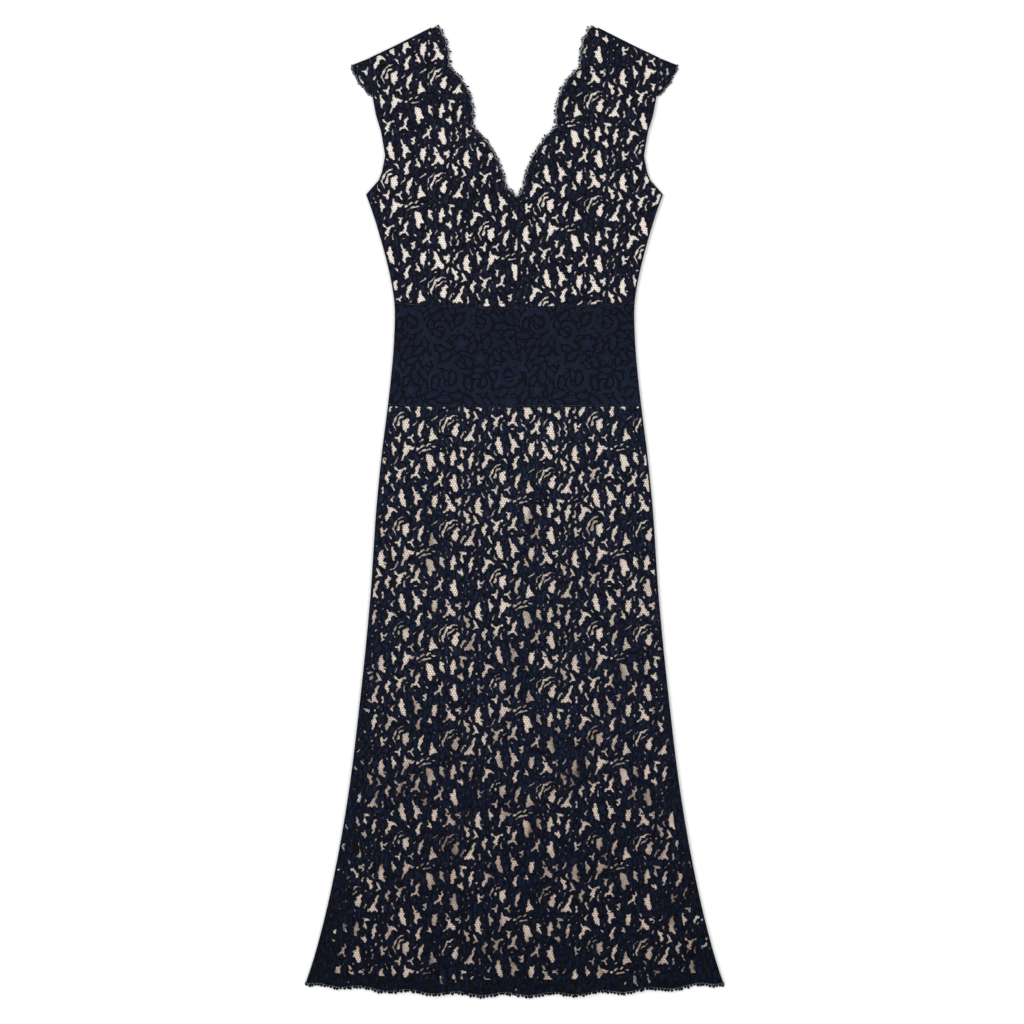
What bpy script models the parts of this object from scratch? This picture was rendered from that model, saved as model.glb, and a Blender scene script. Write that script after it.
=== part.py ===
"""Sleeveless lace evening gown, laid flat on its back: +Y towards the neck, +Z up, metres.

The front lies on the back. From the surface up there are the back panels, the nude front lining and the
front lace, whose larger gaps are cut through. A corded waistband joins the bodice and the skirt. Places
down the gown are given as drops from the shoulder tips, which is how a cutter measures them.
"""

import math
from collections.abc import Callable

import bmesh
import bpy
import numpy as np
from mathutils.geometry import delaunay_2d_cdt

# ---- Driving dimensions --------------------------------------------------------------------------------
GARMENT_LENGTH = 1.5035
CENTRE_SEAM_X = 0.007  # the front's centre seam lies a little to the wearer's left as the gown is laid
SEAM_GAP = 0.0003
LAYER_GAP = 0.0008
SIDES = {"left": -1, "right": 1}

NECK_DROP = 0.276
SHOULDER_END_DROP = 0.048
CAP_TIP_HALF = 0.2519
CAP_TIP_DROP = 0.059
CAP_END_DROP = 0.107
CAP_SCALLOPS = 3
CAP_SCALLOP_DEPTH = 0.0022
CAP_FOLD_DEPTH = 0.0015  # cloth left along the shoulder line, where the cap is folded
CAP_SLIT_OVERRUN = 0.004
UNDERARM_DROP = 0.260

WAIST_TOP_DROP = 0.4278
WAIST_TOP_SAG = 0.0085
WAIST_BOTTOM_DROP = 0.5848
WAIST_BOTTOM_SAG = 0.0025

HEM_CORNER_DROP = 1.485
HEM_SAG = 0.0186
HEM_SCALLOP_PITCH = 0.0744
HEM_SCALLOP_DEPTH = 0.0025
HEM_SCALLOP_START_X = 0.0225
LINING_HEM_DROP = 1.462
LINING_HEM_SAG = 0.014

BACK_THICKNESS = 0.0015
LINING_THICKNESS = 0.0010
LACE_THICKNESS = 0.0012
WAISTBAND_THICKNESS = 0.0025
LINING_UNDERSIDE = BACK_THICKNESS + SEAM_GAP
LACE_UNDERSIDE = LINING_UNDERSIDE + LINING_THICKNESS + LAYER_GAP
LINING_HOLD_BACK = 0.0015  # the bodice lining stops this far inside the lace
NECK_STEPS = 5
LACE_FALL_START = 0.019  # this far past the lining's edge the lace starts to sink to the back
LACE_FALL_WIDTH = 0.022
APPLIQUE_RISE = 0.0007

# Side seam: drop, half width.
SIDE_SEAM = (
    (0.2600, 0.2302),
    (0.2744, 0.2248),
    (0.3364, 0.2054),
    (0.3860, 0.1930),
    (0.4230, 0.1868),
    (0.4850, 0.1868),
    (0.5350, 0.1907),
    (0.5848, 0.1962),
    (0.6710, 0.2069),
    (0.7330, 0.2131),
    (0.8880, 0.2240),
    (1.0430, 0.2395),
    (1.1920, 0.2581),
    (1.2910, 0.2751),
    (1.3900, 0.2968),
    (1.4520, 0.3139),
    (1.4850, 0.3251),
)

# Armhole from the shoulder's end to the underarm: drop, half width.
ARMHOLE = (
    (0.0480, 0.2244),
    (0.0820, 0.2220),
    (0.1131, 0.2193),
    (0.1380, 0.2147),
    (0.1627, 0.2069),
    (0.2000, 0.2007),
    (0.2247, 0.2054),
    (0.2371, 0.2100),
    (0.2495, 0.2209),
    (0.2600, 0.2302),
)

# Scalloped front neck, a row for each inward cusp: drop, distance from the centre, bulge of the lobe below.
NECK_CUSPS = (
    (0.0000, 0.1225, 0.0070),
    (0.0636, 0.1062, 0.0155),
    (0.1550, 0.0700, 0.0110),
    (0.2520, 0.0165, 0.0025),
)

# Back neck, hidden behind the front's: drop, distance from the centre.
BACK_NECK = ((0.0, 0.1290), (0.0636, 0.1130), (0.1550, 0.0780), (0.2520, 0.0250), (0.2920, 0.0))

# The skirt lining is cut with less flare than the lace: drop, inset on the left, inset on the right.
LINING_INSET = (
    (0.5848, 0.0015, 0.0015),
    (0.8880, 0.0040, 0.0040),
    (0.9500, 0.0080, 0.0060),
    (1.0590, 0.0200, 0.0100),
    (1.1980, 0.0270, 0.0160),
    (1.2910, 0.0330, 0.0190),
    (1.4500, 0.0380, 0.0240),
)

# Skirt folds, fanning from the waist. Place is a share of the half width, from -1 on the left to 1.
# waist place, hem place, half width at the waist, spread at the hem, rise, drop where it starts
FOLDS = (
    (-0.82, -0.78, 0.032, 1.6, 0.0026, 0.62),
    (-0.38, -0.44, 0.040, 1.6, 0.0046, 0.60),
    (-0.03, -0.14, 0.031, 1.5, 0.0032, 0.64),
    (0.41, 0.30, 0.042, 1.6, 0.0050, 0.60),
    (0.80, 0.66, 0.031, 1.6, 0.0034, 0.62),
)
FOLD_FADE_IN = 0.20
FOLD_EDGE = 0.045

# Soft fullness over the bust: x, drop, half width across, half width down, rise.
BUST_FULLNESS = (
    (-0.092, 0.318, 0.060, 0.075, 0.0030),
    (0.098, 0.322, 0.060, 0.075, 0.0030),
)

# ---- Lace chart: one repeat of the gaps that the cloth stands round ----------------------------------------
REPEAT_WIDTH = 0.150
REPEAT_HEIGHT = 0.162
CHART_STEP = 0.001
CHART_WINDOW = 0.014  # a gap is charted this far round itself
ROWS_DOWN = 81  # each repeat lies half its height below the one on its left
BEAD_SPACING = 0.0012
FAN_UNIT = 1 / 32  # a fan's slits are sized in thirty-seconds of its radius
EYE_UNIT = 0.030  # eyes are sized for a fan of this radius

# Round fans: place across, place up, radius, turn, angle at which it starts, kind.
FANS = (
    (0.028, 0.138, 0.032, 1, -60.0, 0),
    (0.103, 0.147, 0.028, -1, 250.0, 1),
    (0.066, 0.100, 0.030, 1, 110.0, 2),
    (0.138, 0.088, 0.031, -1, 165.0, 0),
    (0.030, 0.058, 0.029, -1, 240.0, 1),
    (0.098, 0.034, 0.032, 1, -100.0, 2),
)

# The eye of each kind of fan: length, half width, angle, bend.
EYES = ((0.027, 0.0063, 95.0, 0.30), (0.024, 0.0057, 80.0, -0.25), (0.029, 0.0057, 100.0, 0.35))

# The curved slits of each kind of fan, in its units: radius at each end, start, sweep, half width.
SLITS = (
    (
        (16.0, 14.0, 20.0, 120.0, 1.85),
        (22.5, 21.5, 10.0, 85.0, 1.4),
        (29.0, 28.0, 25.0, 75.0, 1.5),
        (17.0, 18.5, 215.0, 75.0, 1.5),
        (25.0, 24.0, 185.0, 105.0, 2.2),
    ),
    (
        (15.0, 17.5, 60.0, 95.0, 1.6),
        (22.0, 24.5, 35.0, 120.0, 2.1),
        (29.5, 30.0, 50.0, 80.0, 1.25),
        (19.0, 15.5, 230.0, 70.0, 2.1),
        (27.0, 27.0, 215.0, 60.0, 1.4),
    ),
    (
        (17.5, 15.5, -20.0, 100.0, 2.1),
        (24.5, 24.0, -5.0, 70.0, 1.4),
        (17.0, 16.5, 155.0, 70.0, 1.4),
        (23.5, 26.5, 130.0, 110.0, 1.85),
        (30.0, 30.0, 240.0, 65.0, 1.6),
    ),
)

# Gaps with three arms, largest first: length of each arm, half width in the middle.
TRIPODS = (
    (0.022, 0.012, 0.011, 0.0053),
    (0.018, 0.011, 0.010, 0.0047),
    (0.014, 0.009, 0.008, 0.0040),
)
TRIPOD_ANGLES = (70, 90, 110, 250, 270, 290)
TRIPOD_LEANS = (-18, 18)
ARM_SPREAD = 128

# Gaps with a round head and a thin tail, largest first: length, half width.
COMETS = ((0.038, 0.0051), (0.032, 0.0045), (0.025, 0.0039))
COMET_ANGLES = (65, 80, 95, 110)
COMET_BEND = 0.3
HEAD_SHARE = 0.62
TAIL_HALF = 0.0011

GAPS_OF_A_SIZE = (4, 5, 6)  # at most, of either kind
GAP_PLACES = slice(0, 3500, 40)  # among the most open places of the chart
EARLY_SLITS = 2  # of each fan, made before the gaps between the fans
SLIT_ROOM = 0.0023
GAP_ROOM = 0.0058

# Round leaf ends stand into the wider gaps: spacing along the gap, radius, how far outside their middles lie.
LEAF_ENDS = (0.0062, 0.0027, 0.0012)
LEAFED_HALF = 0.0024
CLOTH_BIAS = 0.0003  # the cloth is this much wider than between the charted gaps

# The gaps' edges wander aside and upwards and swell in and out: waves across, waves up, phase.
EDGE_WANDER = 0.0011
EDGE_SWELL = 0.0005
EDGE_JAG = 0.00034
ASIDE_WAVES = (
    (13, 4, 0.3),
    (-9, 10, 1.7),
    (5, 15, 3.1),
    (-11, -8, 4.6),
    (15, -3, 5.9),
    (3, -14, 2.4),
)
UPWARD_WAVES = (
    (12, 7, 1.3),
    (-7, 12, 2.9),
    (14, 1, 4.3),
    (-4, 15, 0.6),
    (9, -11, 5.2),
    (-15, 5, 3.6),
)
SWELL_WAVES = (
    (16, 5, 0.7),
    (-13, 11, 2.2),
    (8, 17, 3.9),
    (-6, 18, 5.5),
    (17, -4, 1.2),
    (11, -15, 2.9),
    (14, 10, 0.3),
    (-17, -7, 4.4),
)
JAG_WAVES = (
    (25, 9, 0.7),
    (-21, 17, 2.2),
    (13, 27, 3.9),
    (-9, 29, 5.5),
    (28, -3, 1.2),
    (17, -24, 2.9),
    (31, 14, 0.3),
    (-27, -15, 4.4),
)

CUT_WIDTH = 0.004  # gaps are cut where they are wider than this
SMALLEST_CUT = 22e-6  # m2
CUT_CORNERS = 7
SKIRT_CUTS = 228
BODICE_CUTS = 35
SKIRT_LACE_ORIGIN = (0.030, -0.012)
BODICE_LACE_ORIGINS = {"left": (0.012, 0.040), "right": (0.104, 0.085)}
SIDE_MARGIN = 0.0045
NECK_MARGIN = 0.013
HEM_MARGIN = 0.036

# The waistband's corded scrolls: place across and up, radius at each end, start, sweep, half width.
SCROLL_REPEAT = (0.196, 0.160)
SCROLL_ORIGIN = (0.045, 0.090)
SCROLL_SOFTNESS = 0.0050
SCROLLS = (
    (0.048, 0.114, 0.0300, 0.0080, 200.0, -400.0, 0.0040),
    (0.146, 0.120, 0.0270, 0.0075, -20.0, 385.0, 0.0038),
    (0.100, 0.046, 0.0300, 0.0080, 20.0, 410.0, 0.0041),
    (0.186, 0.042, 0.0260, 0.0075, 190.0, -380.0, 0.0037),
    (0.034, 0.032, 0.0250, 0.0070, 130.0, 370.0, 0.0037),
    (0.098, 0.108, 0.0160, 0.0060, 60.0, -310.0, 0.0030),
)

SKIRT_PITCH = (0.0150, 0.050)
SKIRT_LINING_PITCH = (0.018, 0.060)
BODICE_PITCH = (0.024, 0.030)
WAISTBAND_PITCH = (0.0094, 0.0094)
PLAIN_PITCH = (0.0, 0.0)
EDGE_PITCH = 0.030

Outline = np.ndarray
Height = Callable[[np.ndarray, np.ndarray], np.ndarray]


# ---- Places on the gown ----------------------------------------------------------------------------------
def height_at(drop: float | np.ndarray) -> float | np.ndarray:
    """Turn a drop from the shoulder tips into a Y coordinate."""
    return GARMENT_LENGTH / 2 - drop


def drop_at(y: float | np.ndarray) -> float | np.ndarray:
    """Turn a Y coordinate into a drop from the shoulder tips."""
    return GARMENT_LENGTH / 2 - y


def column(table: tuple, index: int) -> np.ndarray:
    """Return one column of a table of rows."""
    return np.array([row[index] for row in table])


def smooth_step(share: np.ndarray) -> np.ndarray:
    """Ease from 0 to 1 over a share that runs from 0 to 1."""
    share = np.clip(share, 0.0, 1.0)
    return share * share * (3 - 2 * share)


def smooth_lookup(table: tuple, drop: np.ndarray, index: int = 1) -> np.ndarray:
    """Read a table's column at a drop along a smooth curve through its rows (cubic, with mean slopes)."""
    knots, values = column(table, 0), column(table, index)
    slopes = np.gradient(values, knots)
    drop = np.clip(drop, knots[0], knots[-1])
    row = np.clip(np.searchsorted(knots, drop) - 1, 0, len(knots) - 2)
    span = knots[row + 1] - knots[row]
    t = (drop - knots[row]) / span
    start = (1 + 2 * t) * (1 - t) ** 2 * values[row] + t * (1 - t) ** 2 * span * slopes[row]
    end = t * t * (3 - 2 * t) * values[row + 1] + t * t * (t - 1) * span * slopes[row + 1]
    return start + end


def waist_drop(x: np.ndarray, side_drop: float, sag: float) -> np.ndarray:
    """Return the drop of a waist seam that sags a little at the centre."""
    half = smooth_lookup(SIDE_SEAM, side_drop)
    return side_drop + sag * (1 - (np.asarray(x) / half) ** 2)


def hem_drop(x: np.ndarray) -> np.ndarray:
    """Return the drop of the scalloped lace hem."""
    x = np.asarray(x)
    half = SIDE_SEAM[-1][1]
    wave = np.cos(2 * math.pi * (x - HEM_SCALLOP_START_X) / HEM_SCALLOP_PITCH)
    fade = smooth_step((half - np.abs(x)) / HEM_SCALLOP_PITCH * 2)
    return HEM_CORNER_DROP + HEM_SAG * (1 - (x / half) ** 2) + HEM_SCALLOP_DEPTH * (wave - 1) * fade


def lining_edge(drop: np.ndarray, side: int) -> np.ndarray:
    """Return the half width of the skirt lining on one side, -1 for the left."""
    inset = np.interp(drop, column(LINING_INSET, 0), column(LINING_INSET, 1 if side < 0 else 2))
    return smooth_lookup(SIDE_SEAM, drop) - inset


# ---- Heights of the layers ---------------------------------------------------------------------------------
def fold_height(x: np.ndarray, y: np.ndarray) -> np.ndarray:
    """Return how far the folds and the bust's fullness lift the front over a flat layer."""
    drop = drop_at(np.asarray(y))
    half = smooth_lookup(SIDE_SEAM, drop)
    run = np.clip((drop - WAIST_BOTTOM_DROP) / (HEM_CORNER_DROP - WAIST_BOTTOM_DROP), 0.0, 1.0)
    lift = np.zeros(np.broadcast(x, drop).shape)
    for waist_place, hem_place, half_width, spread, rise, start in FOLDS:
        middle = (waist_place + (hem_place - waist_place) * run) * half
        width = half_width * (1 + (spread - 1) * run)
        lift += rise * np.exp(-(((x - middle) / width) ** 2)) * smooth_step((drop - start) / FOLD_FADE_IN)
    lift *= smooth_step((half - np.abs(x)) / FOLD_EDGE)
    for middle, middle_drop, across, down, rise in BUST_FULLNESS:
        reach = ((x - middle) / across) ** 2 + ((drop - middle_drop) / down) ** 2
        lift += rise * smooth_step(1 - reach / 2) * (drop < WAIST_TOP_DROP)
    return lift


def past_lining(x: np.ndarray, y: np.ndarray) -> np.ndarray:
    """Return how far a place on the skirt lies outside the lining, 0 on it."""
    drop = drop_at(np.asarray(y))
    edge = np.where(np.asarray(x) < 0, lining_edge(drop, -1), lining_edge(drop, 1))
    lining_hem = LINING_HEM_DROP + LINING_HEM_SAG * (1 - (np.asarray(x) / SIDE_SEAM[-1][1]) ** 2)
    return np.maximum(np.maximum(np.abs(x) - edge, drop - lining_hem), 0.0)


def level(height: float) -> Height:
    """Return the height function of a flat layer."""
    return lambda x, y: np.full(np.shape(x), height)


def folded(height: float) -> Height:
    """Return the height function of a layer that follows the folds."""
    return lambda x, y: height + fold_height(x, y)


def skirt_lace(height: float) -> Height:
    """Return the height function of the skirt lace, which sinks to the back past the lining's edge."""
    fall = LACE_UNDERSIDE - LINING_UNDERSIDE
    sunk = lambda x, y: fall * smooth_step((past_lining(x, y) - LACE_FALL_START) / LACE_FALL_WIDTH)
    return lambda x, y: height + fold_height(x, y) - sunk(x, y)


# ---- Outlines, anticlockwise -------------------------------------------------------------------------------
def side_points(start_drop: float, end_drop: float, pitch: float = EDGE_PITCH) -> Outline:
    """Return points down the right side seam."""
    steps = max(2, round((end_drop - start_drop) / pitch) + 1)
    drops = np.linspace(start_drop, end_drop, steps)
    return np.stack([smooth_lookup(SIDE_SEAM, drops), height_at(drops)], 1)


def seam_points(start_x: float, end_x: float, drop_of: Callable, pitch: float = EDGE_PITCH) -> Outline:
    """Return points along a seam or hem whose drop is a function of x."""
    across = np.linspace(start_x, end_x, max(2, round(abs(end_x - start_x) / pitch) + 1))
    return np.stack([across, height_at(drop_of(across))], 1)


def mirrored(points: Outline) -> Outline:
    """Mirror points in the gown's middle and turn their order round."""
    return (points * (-1, 1))[::-1]


def inset(outline: Outline, distance: float) -> Outline:
    """Move an anticlockwise outline's points inwards along their mean normals."""
    before, after = np.roll(outline, 1, axis=0), np.roll(outline, -1, axis=0)
    back, ahead = outline - before, after - outline
    back /= np.linalg.norm(back, axis=1, keepdims=True)
    ahead /= np.linalg.norm(ahead, axis=1, keepdims=True)
    inward = np.stack([-(back[:, 1] + ahead[:, 1]), back[:, 0] + ahead[:, 0]], 1)
    inward /= np.linalg.norm(inward, axis=1, keepdims=True)
    corner = np.clip(inward[:, 1] * ahead[:, 0] - inward[:, 0] * ahead[:, 1], 0.5, 1.0)
    return outline + inward * (distance / corner)[:, None]


def lobe(start: tuple, end: tuple, bulge: float, steps: int) -> Outline:
    """Return points of an arc of a circle from one cusp to the next, without the last one."""
    start, end = np.array(start), np.array(end)
    chord = end - start
    length = float(np.hypot(*chord))
    radius = (length**2 / 4 + bulge**2) / (2 * bulge)
    half_angle = math.asin(length / 2 / radius)
    along, out = chord / length, np.array([-chord[1], chord[0]]) / length
    angles = np.linspace(-half_angle, half_angle, steps + 1)[:-1]
    middle = (start + end) / 2 + out * (bulge - radius)
    return middle + radius * (np.sin(angles)[:, None] * along + np.cos(angles)[:, None] * out)


def front_neck(side: int, steps: int) -> Outline:
    """Return one side's edge of the front neck, from the shoulder down to the V's tip."""
    cusps = [(-distance, height_at(drop)) for drop, distance, _ in NECK_CUSPS]
    cusps.append((-side * CENTRE_SEAM_X, height_at(NECK_DROP)))
    lobes = [lobe(cusps[k], cusps[k + 1], NECK_CUSPS[k][2], steps) for k in range(len(NECK_CUSPS))]
    return np.concatenate([*lobes, [cusps[-1]]]) * (-side, 1)


def bodice_half(side: int, neck: Outline) -> Outline:
    """Return one half of a bodice: neck, centre seam, waist, side seam, armhole and shoulder.

    Args:
        side: -1 for the half on the left, 1 for the right.
        neck: The half's neck edge from the shoulder to the top of the centre seam.
    """
    waist_half = side * float(smooth_lookup(SIDE_SEAM, WAIST_TOP_DROP))
    top_waist = lambda x: waist_drop(x, WAIST_TOP_DROP, WAIST_TOP_SAG)
    waist = seam_points(neck[-1, 0], waist_half, top_waist)
    side_seam = side_points(UNDERARM_DROP, WAIST_TOP_DROP)[::-1] * (side, 1)
    armhole = np.array([(side * half, height_at(drop)) for drop, half in ARMHOLE])[::-1]
    outline = np.concatenate([neck, waist, side_seam[1:], armhole[1:]])
    return outline[::-1] if signed_area(outline) < 0 else outline


def signed_area(outline: Outline) -> float:
    """Return a polygon's area, positive when it runs anticlockwise."""
    x, y = outline[:, 0], outline[:, 1]
    return 0.5 * float((x * np.roll(y, -1) - y * np.roll(x, -1)).sum())


def band_outline(pitch: float) -> Outline:
    """Return the outline of the waistband between its two seams."""
    top_half = float(smooth_lookup(SIDE_SEAM, WAIST_TOP_DROP))
    bottom_half = float(smooth_lookup(SIDE_SEAM, WAIST_BOTTOM_DROP))
    top_line = lambda x: waist_drop(x, WAIST_TOP_DROP, WAIST_TOP_SAG)
    bottom_line = lambda x: waist_drop(x, WAIST_BOTTOM_DROP, WAIST_BOTTOM_SAG)
    bottom = seam_points(-bottom_half, bottom_half, bottom_line, pitch)
    top = seam_points(top_half, -top_half, top_line, pitch)
    right = side_points(WAIST_TOP_DROP, WAIST_BOTTOM_DROP, pitch)[::-1]
    left = mirrored(right)
    return np.concatenate([bottom, right[1:], top[1:], left[1:-1]])


def skirt_outline(hem_pitch: float) -> Outline:
    """Return the outline of the lace skirt, down to its scalloped hem."""
    waist_half = float(smooth_lookup(SIDE_SEAM, WAIST_BOTTOM_DROP))
    hem_half = SIDE_SEAM[-1][1]
    hem = seam_points(-hem_half, hem_half, hem_drop, hem_pitch)
    right = side_points(WAIST_BOTTOM_DROP, HEM_CORNER_DROP)[::-1]
    waist_line = lambda x: waist_drop(x, WAIST_BOTTOM_DROP, WAIST_BOTTOM_SAG)
    waist = seam_points(waist_half, -waist_half, waist_line)
    return np.concatenate([hem, right[1:], waist[1:], mirrored(right)[1:-1]])


def lining_outline() -> Outline:
    """Return the outline of the shorter and narrower skirt lining."""
    drops = np.linspace(WAIST_BOTTOM_DROP, LINING_HEM_DROP, 22)
    right = np.stack([lining_edge(drops, 1), height_at(drops)], 1)
    left = np.stack([-lining_edge(drops, -1), height_at(drops)], 1)
    hem_line = lambda x: LINING_HEM_DROP + LINING_HEM_SAG * (1 - (x / SIDE_SEAM[-1][1]) ** 2)
    hem = seam_points(left[-1, 0], right[-1, 0], hem_line)
    waist_line = lambda x: waist_drop(x, WAIST_BOTTOM_DROP, WAIST_BOTTOM_SAG)
    waist = seam_points(right[0, 0], left[0, 0], waist_line)
    return np.concatenate([hem, right[-2:0:-1], waist, left[1:-1]])


def cap_outline() -> Outline:
    """Return the left cap sleeve: shoulder line, scalloped outer edge and armhole seam."""
    tip = np.array([-CAP_TIP_HALF, height_at(CAP_TIP_DROP)])
    end = np.array([-float(np.interp(CAP_END_DROP, *column_pair(ARMHOLE))), height_at(CAP_END_DROP)])
    share = np.linspace(0, 1, 4 * CAP_SCALLOPS + 1)[:, None]
    out = np.array([end[1] - tip[1], tip[0] - end[0]]) / np.hypot(*(end - tip))
    scallop = CAP_SCALLOP_DEPTH * np.abs(np.sin(math.pi * CAP_SCALLOPS * share))
    bow = 0.004 * np.sin(math.pi * share)
    outer = tip + (end - tip) * share + out * (scallop + bow)
    drops = np.linspace(CAP_END_DROP, SHOULDER_END_DROP, 4)
    inner = np.stack([-np.interp(drops, *column_pair(ARMHOLE)), height_at(drops)], 1)
    outline = np.concatenate([outer, inner[1:]])
    return outline[::-1] if signed_area(outline) < 0 else outline


def column_pair(table: tuple) -> tuple:
    """Return a table's first two columns."""
    return column(table, 0), column(table, 1)


# ---- Lace chart --------------------------------------------------------------------------------------------
def arc_beads(place: tuple, first: float, last: float, start: float, sweep: float, half: float) -> np.ndarray:
    """Return an arc's beads, each a place and a half width; its radius changes, and its middle is widest."""
    length = abs(math.radians(sweep)) * (first + last) / 2
    t = np.linspace(0, 1, max(5, int(length / BEAD_SPACING)))
    radius = first + (last - first) * t
    angle = np.radians(start + sweep * t)
    width = np.maximum(half * (1 - (2 * t - 1) ** 2) ** 0.5, 0.0003)
    return np.stack([place[0] + radius * np.cos(angle), place[1] + radius * np.sin(angle), width], 1)


def blade_beads(place: tuple, length: float, half: float, angle: float, bend: float) -> np.ndarray:
    """Return the beads of one bent leaf shape with pointed ends."""
    t = np.linspace(-1, 1, max(4, int(length / BEAD_SPACING)))
    turn = math.radians(angle)
    along = t * length / 2
    aside = bend * length / 2 * (0.5 - t**2)
    width = np.maximum(half * (1 - t**2) ** 0.8, 0.0004)
    x = place[0] + along * math.cos(turn) - aside * math.sin(turn)
    y = place[1] + along * math.sin(turn) + aside * math.cos(turn)
    return np.stack([x, y, width], 1)


def tripod_ways(place: tuple, sizes: tuple) -> list[np.ndarray]:
    """Return the ways that a gap with three arms can lie at a place."""
    ways = []
    for angle in TRIPOD_ANGLES:
        for lean in TRIPOD_LEANS:
            arms = []
            for length, turn in zip(sizes[:3], (0, ARM_SPREAD + lean, lean - ARM_SPREAD)):
                t = np.linspace(0, 1, max(3, int(length / BEAD_SPACING)))
                way = math.radians(angle + turn)
                x, y = place[0] + length * t * math.cos(way), place[1] + length * t * math.sin(way)
                arms.append(np.stack([x, y, 0.9 * sizes[3] * (1 - t) ** 0.8 + 0.0005], 1))
            ways.append(np.concatenate(arms))
    return ways


def comet_ways(place: tuple, sizes: tuple) -> list[np.ndarray]:
    """Return the ways that an upright gap with a round head and a bent tail can lie at a place."""
    ways = []
    for angle in COMET_ANGLES:
        for bend in (COMET_BEND, -COMET_BEND):
            comet = blade_beads(place, *sizes, angle, bend)
            t = np.linspace(0, 1, len(comet))
            head = sizes[1] * np.sin(math.pi * np.minimum(t / HEAD_SHARE, 1)) ** 0.8
            width = np.maximum(np.where(t < HEAD_SHARE, head, 0), TAIL_HALF * (1 - 0.6 * t))
            ways += [np.column_stack([comet[:, :2], way]) for way in (width, width[::-1])]
    return ways


def on_repeat(rows: np.ndarray, columns: np.ndarray) -> tuple[np.ndarray, np.ndarray]:
    """Return the rows and columns of one repeat that places of the endless chart fall on."""
    height, width = round(REPEAT_HEIGHT / CHART_STEP), round(REPEAT_WIDTH / CHART_STEP)
    repeats = np.floor_divide(columns, width)
    return (rows + repeats * ROWS_DOWN) % height, columns - repeats * width


def add_gap(gap: np.ndarray, inside: np.ndarray) -> None:
    """Raise a chart of distances inside shapes by those of one more shape."""
    margin = CHART_WINDOW + gap[:, 2].max()
    low = np.floor((gap[:, :2].min(0) - margin) / CHART_STEP).astype(int)
    high = np.ceil((gap[:, :2].max(0) + margin) / CHART_STEP).astype(int)
    rows, columns = np.mgrid[low[1]:high[1] + 1, low[0]:high[0] + 1]
    within = np.full(rows.shape, -1.0)
    for x, y, width in gap:
        within = np.maximum(within, width - np.hypot(columns * CHART_STEP - x, rows * CHART_STEP - y))
    places = on_repeat(rows, columns)
    inside[places] = np.maximum(inside[places], within)


def room_of(gap: np.ndarray, inside: np.ndarray) -> float:
    """Return how wide the cloth between a gap and its nearest neighbour would be."""
    at = (gap[:, :2] / CHART_STEP).round().astype(int)
    return float((-inside[on_repeat(at[:, 1], at[:, 0])] - gap[:, 2]).min())


def fill_open_places(inside: np.ndarray, ways: Callable, sizes: tuple, most: int) -> list[np.ndarray]:
    """Add gaps of one size where they leave the most cloth round them, and return those that fit."""
    added = []
    for _ in range(most):
        best, best_room = None, GAP_ROOM
        for place in np.argsort(inside, axis=None)[GAP_PLACES]:
            row, col = divmod(int(place), inside.shape[1])
            if -inside[row, col] < sizes[-1] + GAP_ROOM:
                break
            for gap in ways((col * CHART_STEP, row * CHART_STEP), sizes):
                room = room_of(gap, inside)
                if room > best_room:
                    best, best_room = gap, room
        if best is None:
            break
        add_gap(best, inside)
        added.append(best)
    return added


def waves(across: np.ndarray, up: np.ndarray, rows: tuple) -> np.ndarray:
    """Return a sum of waves that repeats with the chart."""
    total = np.zeros(across.shape)
    for waves_across, waves_up, phase in rows:
        turns = (waves_across + 0.5 * (waves_up % 2)) * across / REPEAT_WIDTH + waves_up * up / REPEAT_HEIGHT
        total += np.sin(2 * math.pi * turns + phase)
    return total / math.sqrt(len(rows))


def shifted_extreme(values: np.ndarray, radius: float, pick: Callable) -> np.ndarray:
    """Return the least or greatest value within a radius of each place, wrapped round the chart."""
    steps = int(radius / CHART_STEP)
    result = values.copy()
    for i in range(-steps, steps + 1):
        for j in range(-steps, steps + 1):
            if math.hypot(i, j) <= steps + 0.1:
                result = pick(result, np.roll(values, (i, j), (0, 1)))
    return result


def add_slits(which: slice, inside: np.ndarray) -> None:
    """Add some of each fan's slits, where they leave enough cloth round them."""
    for across, up, radius, turn, start, kind in FANS:
        unit = radius * FAN_UNIT
        for first, last, from_angle, sweep, half in SLITS[kind][which]:
            slit_start, slit_sweep = start + turn * from_angle, turn * sweep
            slit = arc_beads((across, up), first * unit, last * unit, slit_start, slit_sweep, half * unit)
            if room_of(slit, inside) > SLIT_ROOM:
                add_gap(slit, inside)


def leaf_ends(number: int, gap: np.ndarray) -> list[np.ndarray]:
    """Return the round leaf ends along both sides of a gap, as one bead each, staggered by its number."""
    spacing, radius, out = LEAF_ENDS
    every = round(spacing / BEAD_SPACING)
    ends = []
    for side in (-1, 1):
        for k in range((2 * number + (1 + side) * every // 4) % every, len(gap) - 1, every):
            ahead = gap[k + 1, :2] - gap[k, :2]
            length = float(np.hypot(*ahead))
            if gap[k, 2] >= LEAFED_HALF and length <= 2 * BEAD_SPACING:
                aside = side * np.array([-ahead[1], ahead[0]]) / length
                ends.append(np.array([[*(gap[k, :2] + aside * (gap[k, 2] + out)), radius]]))
    return ends


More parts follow.
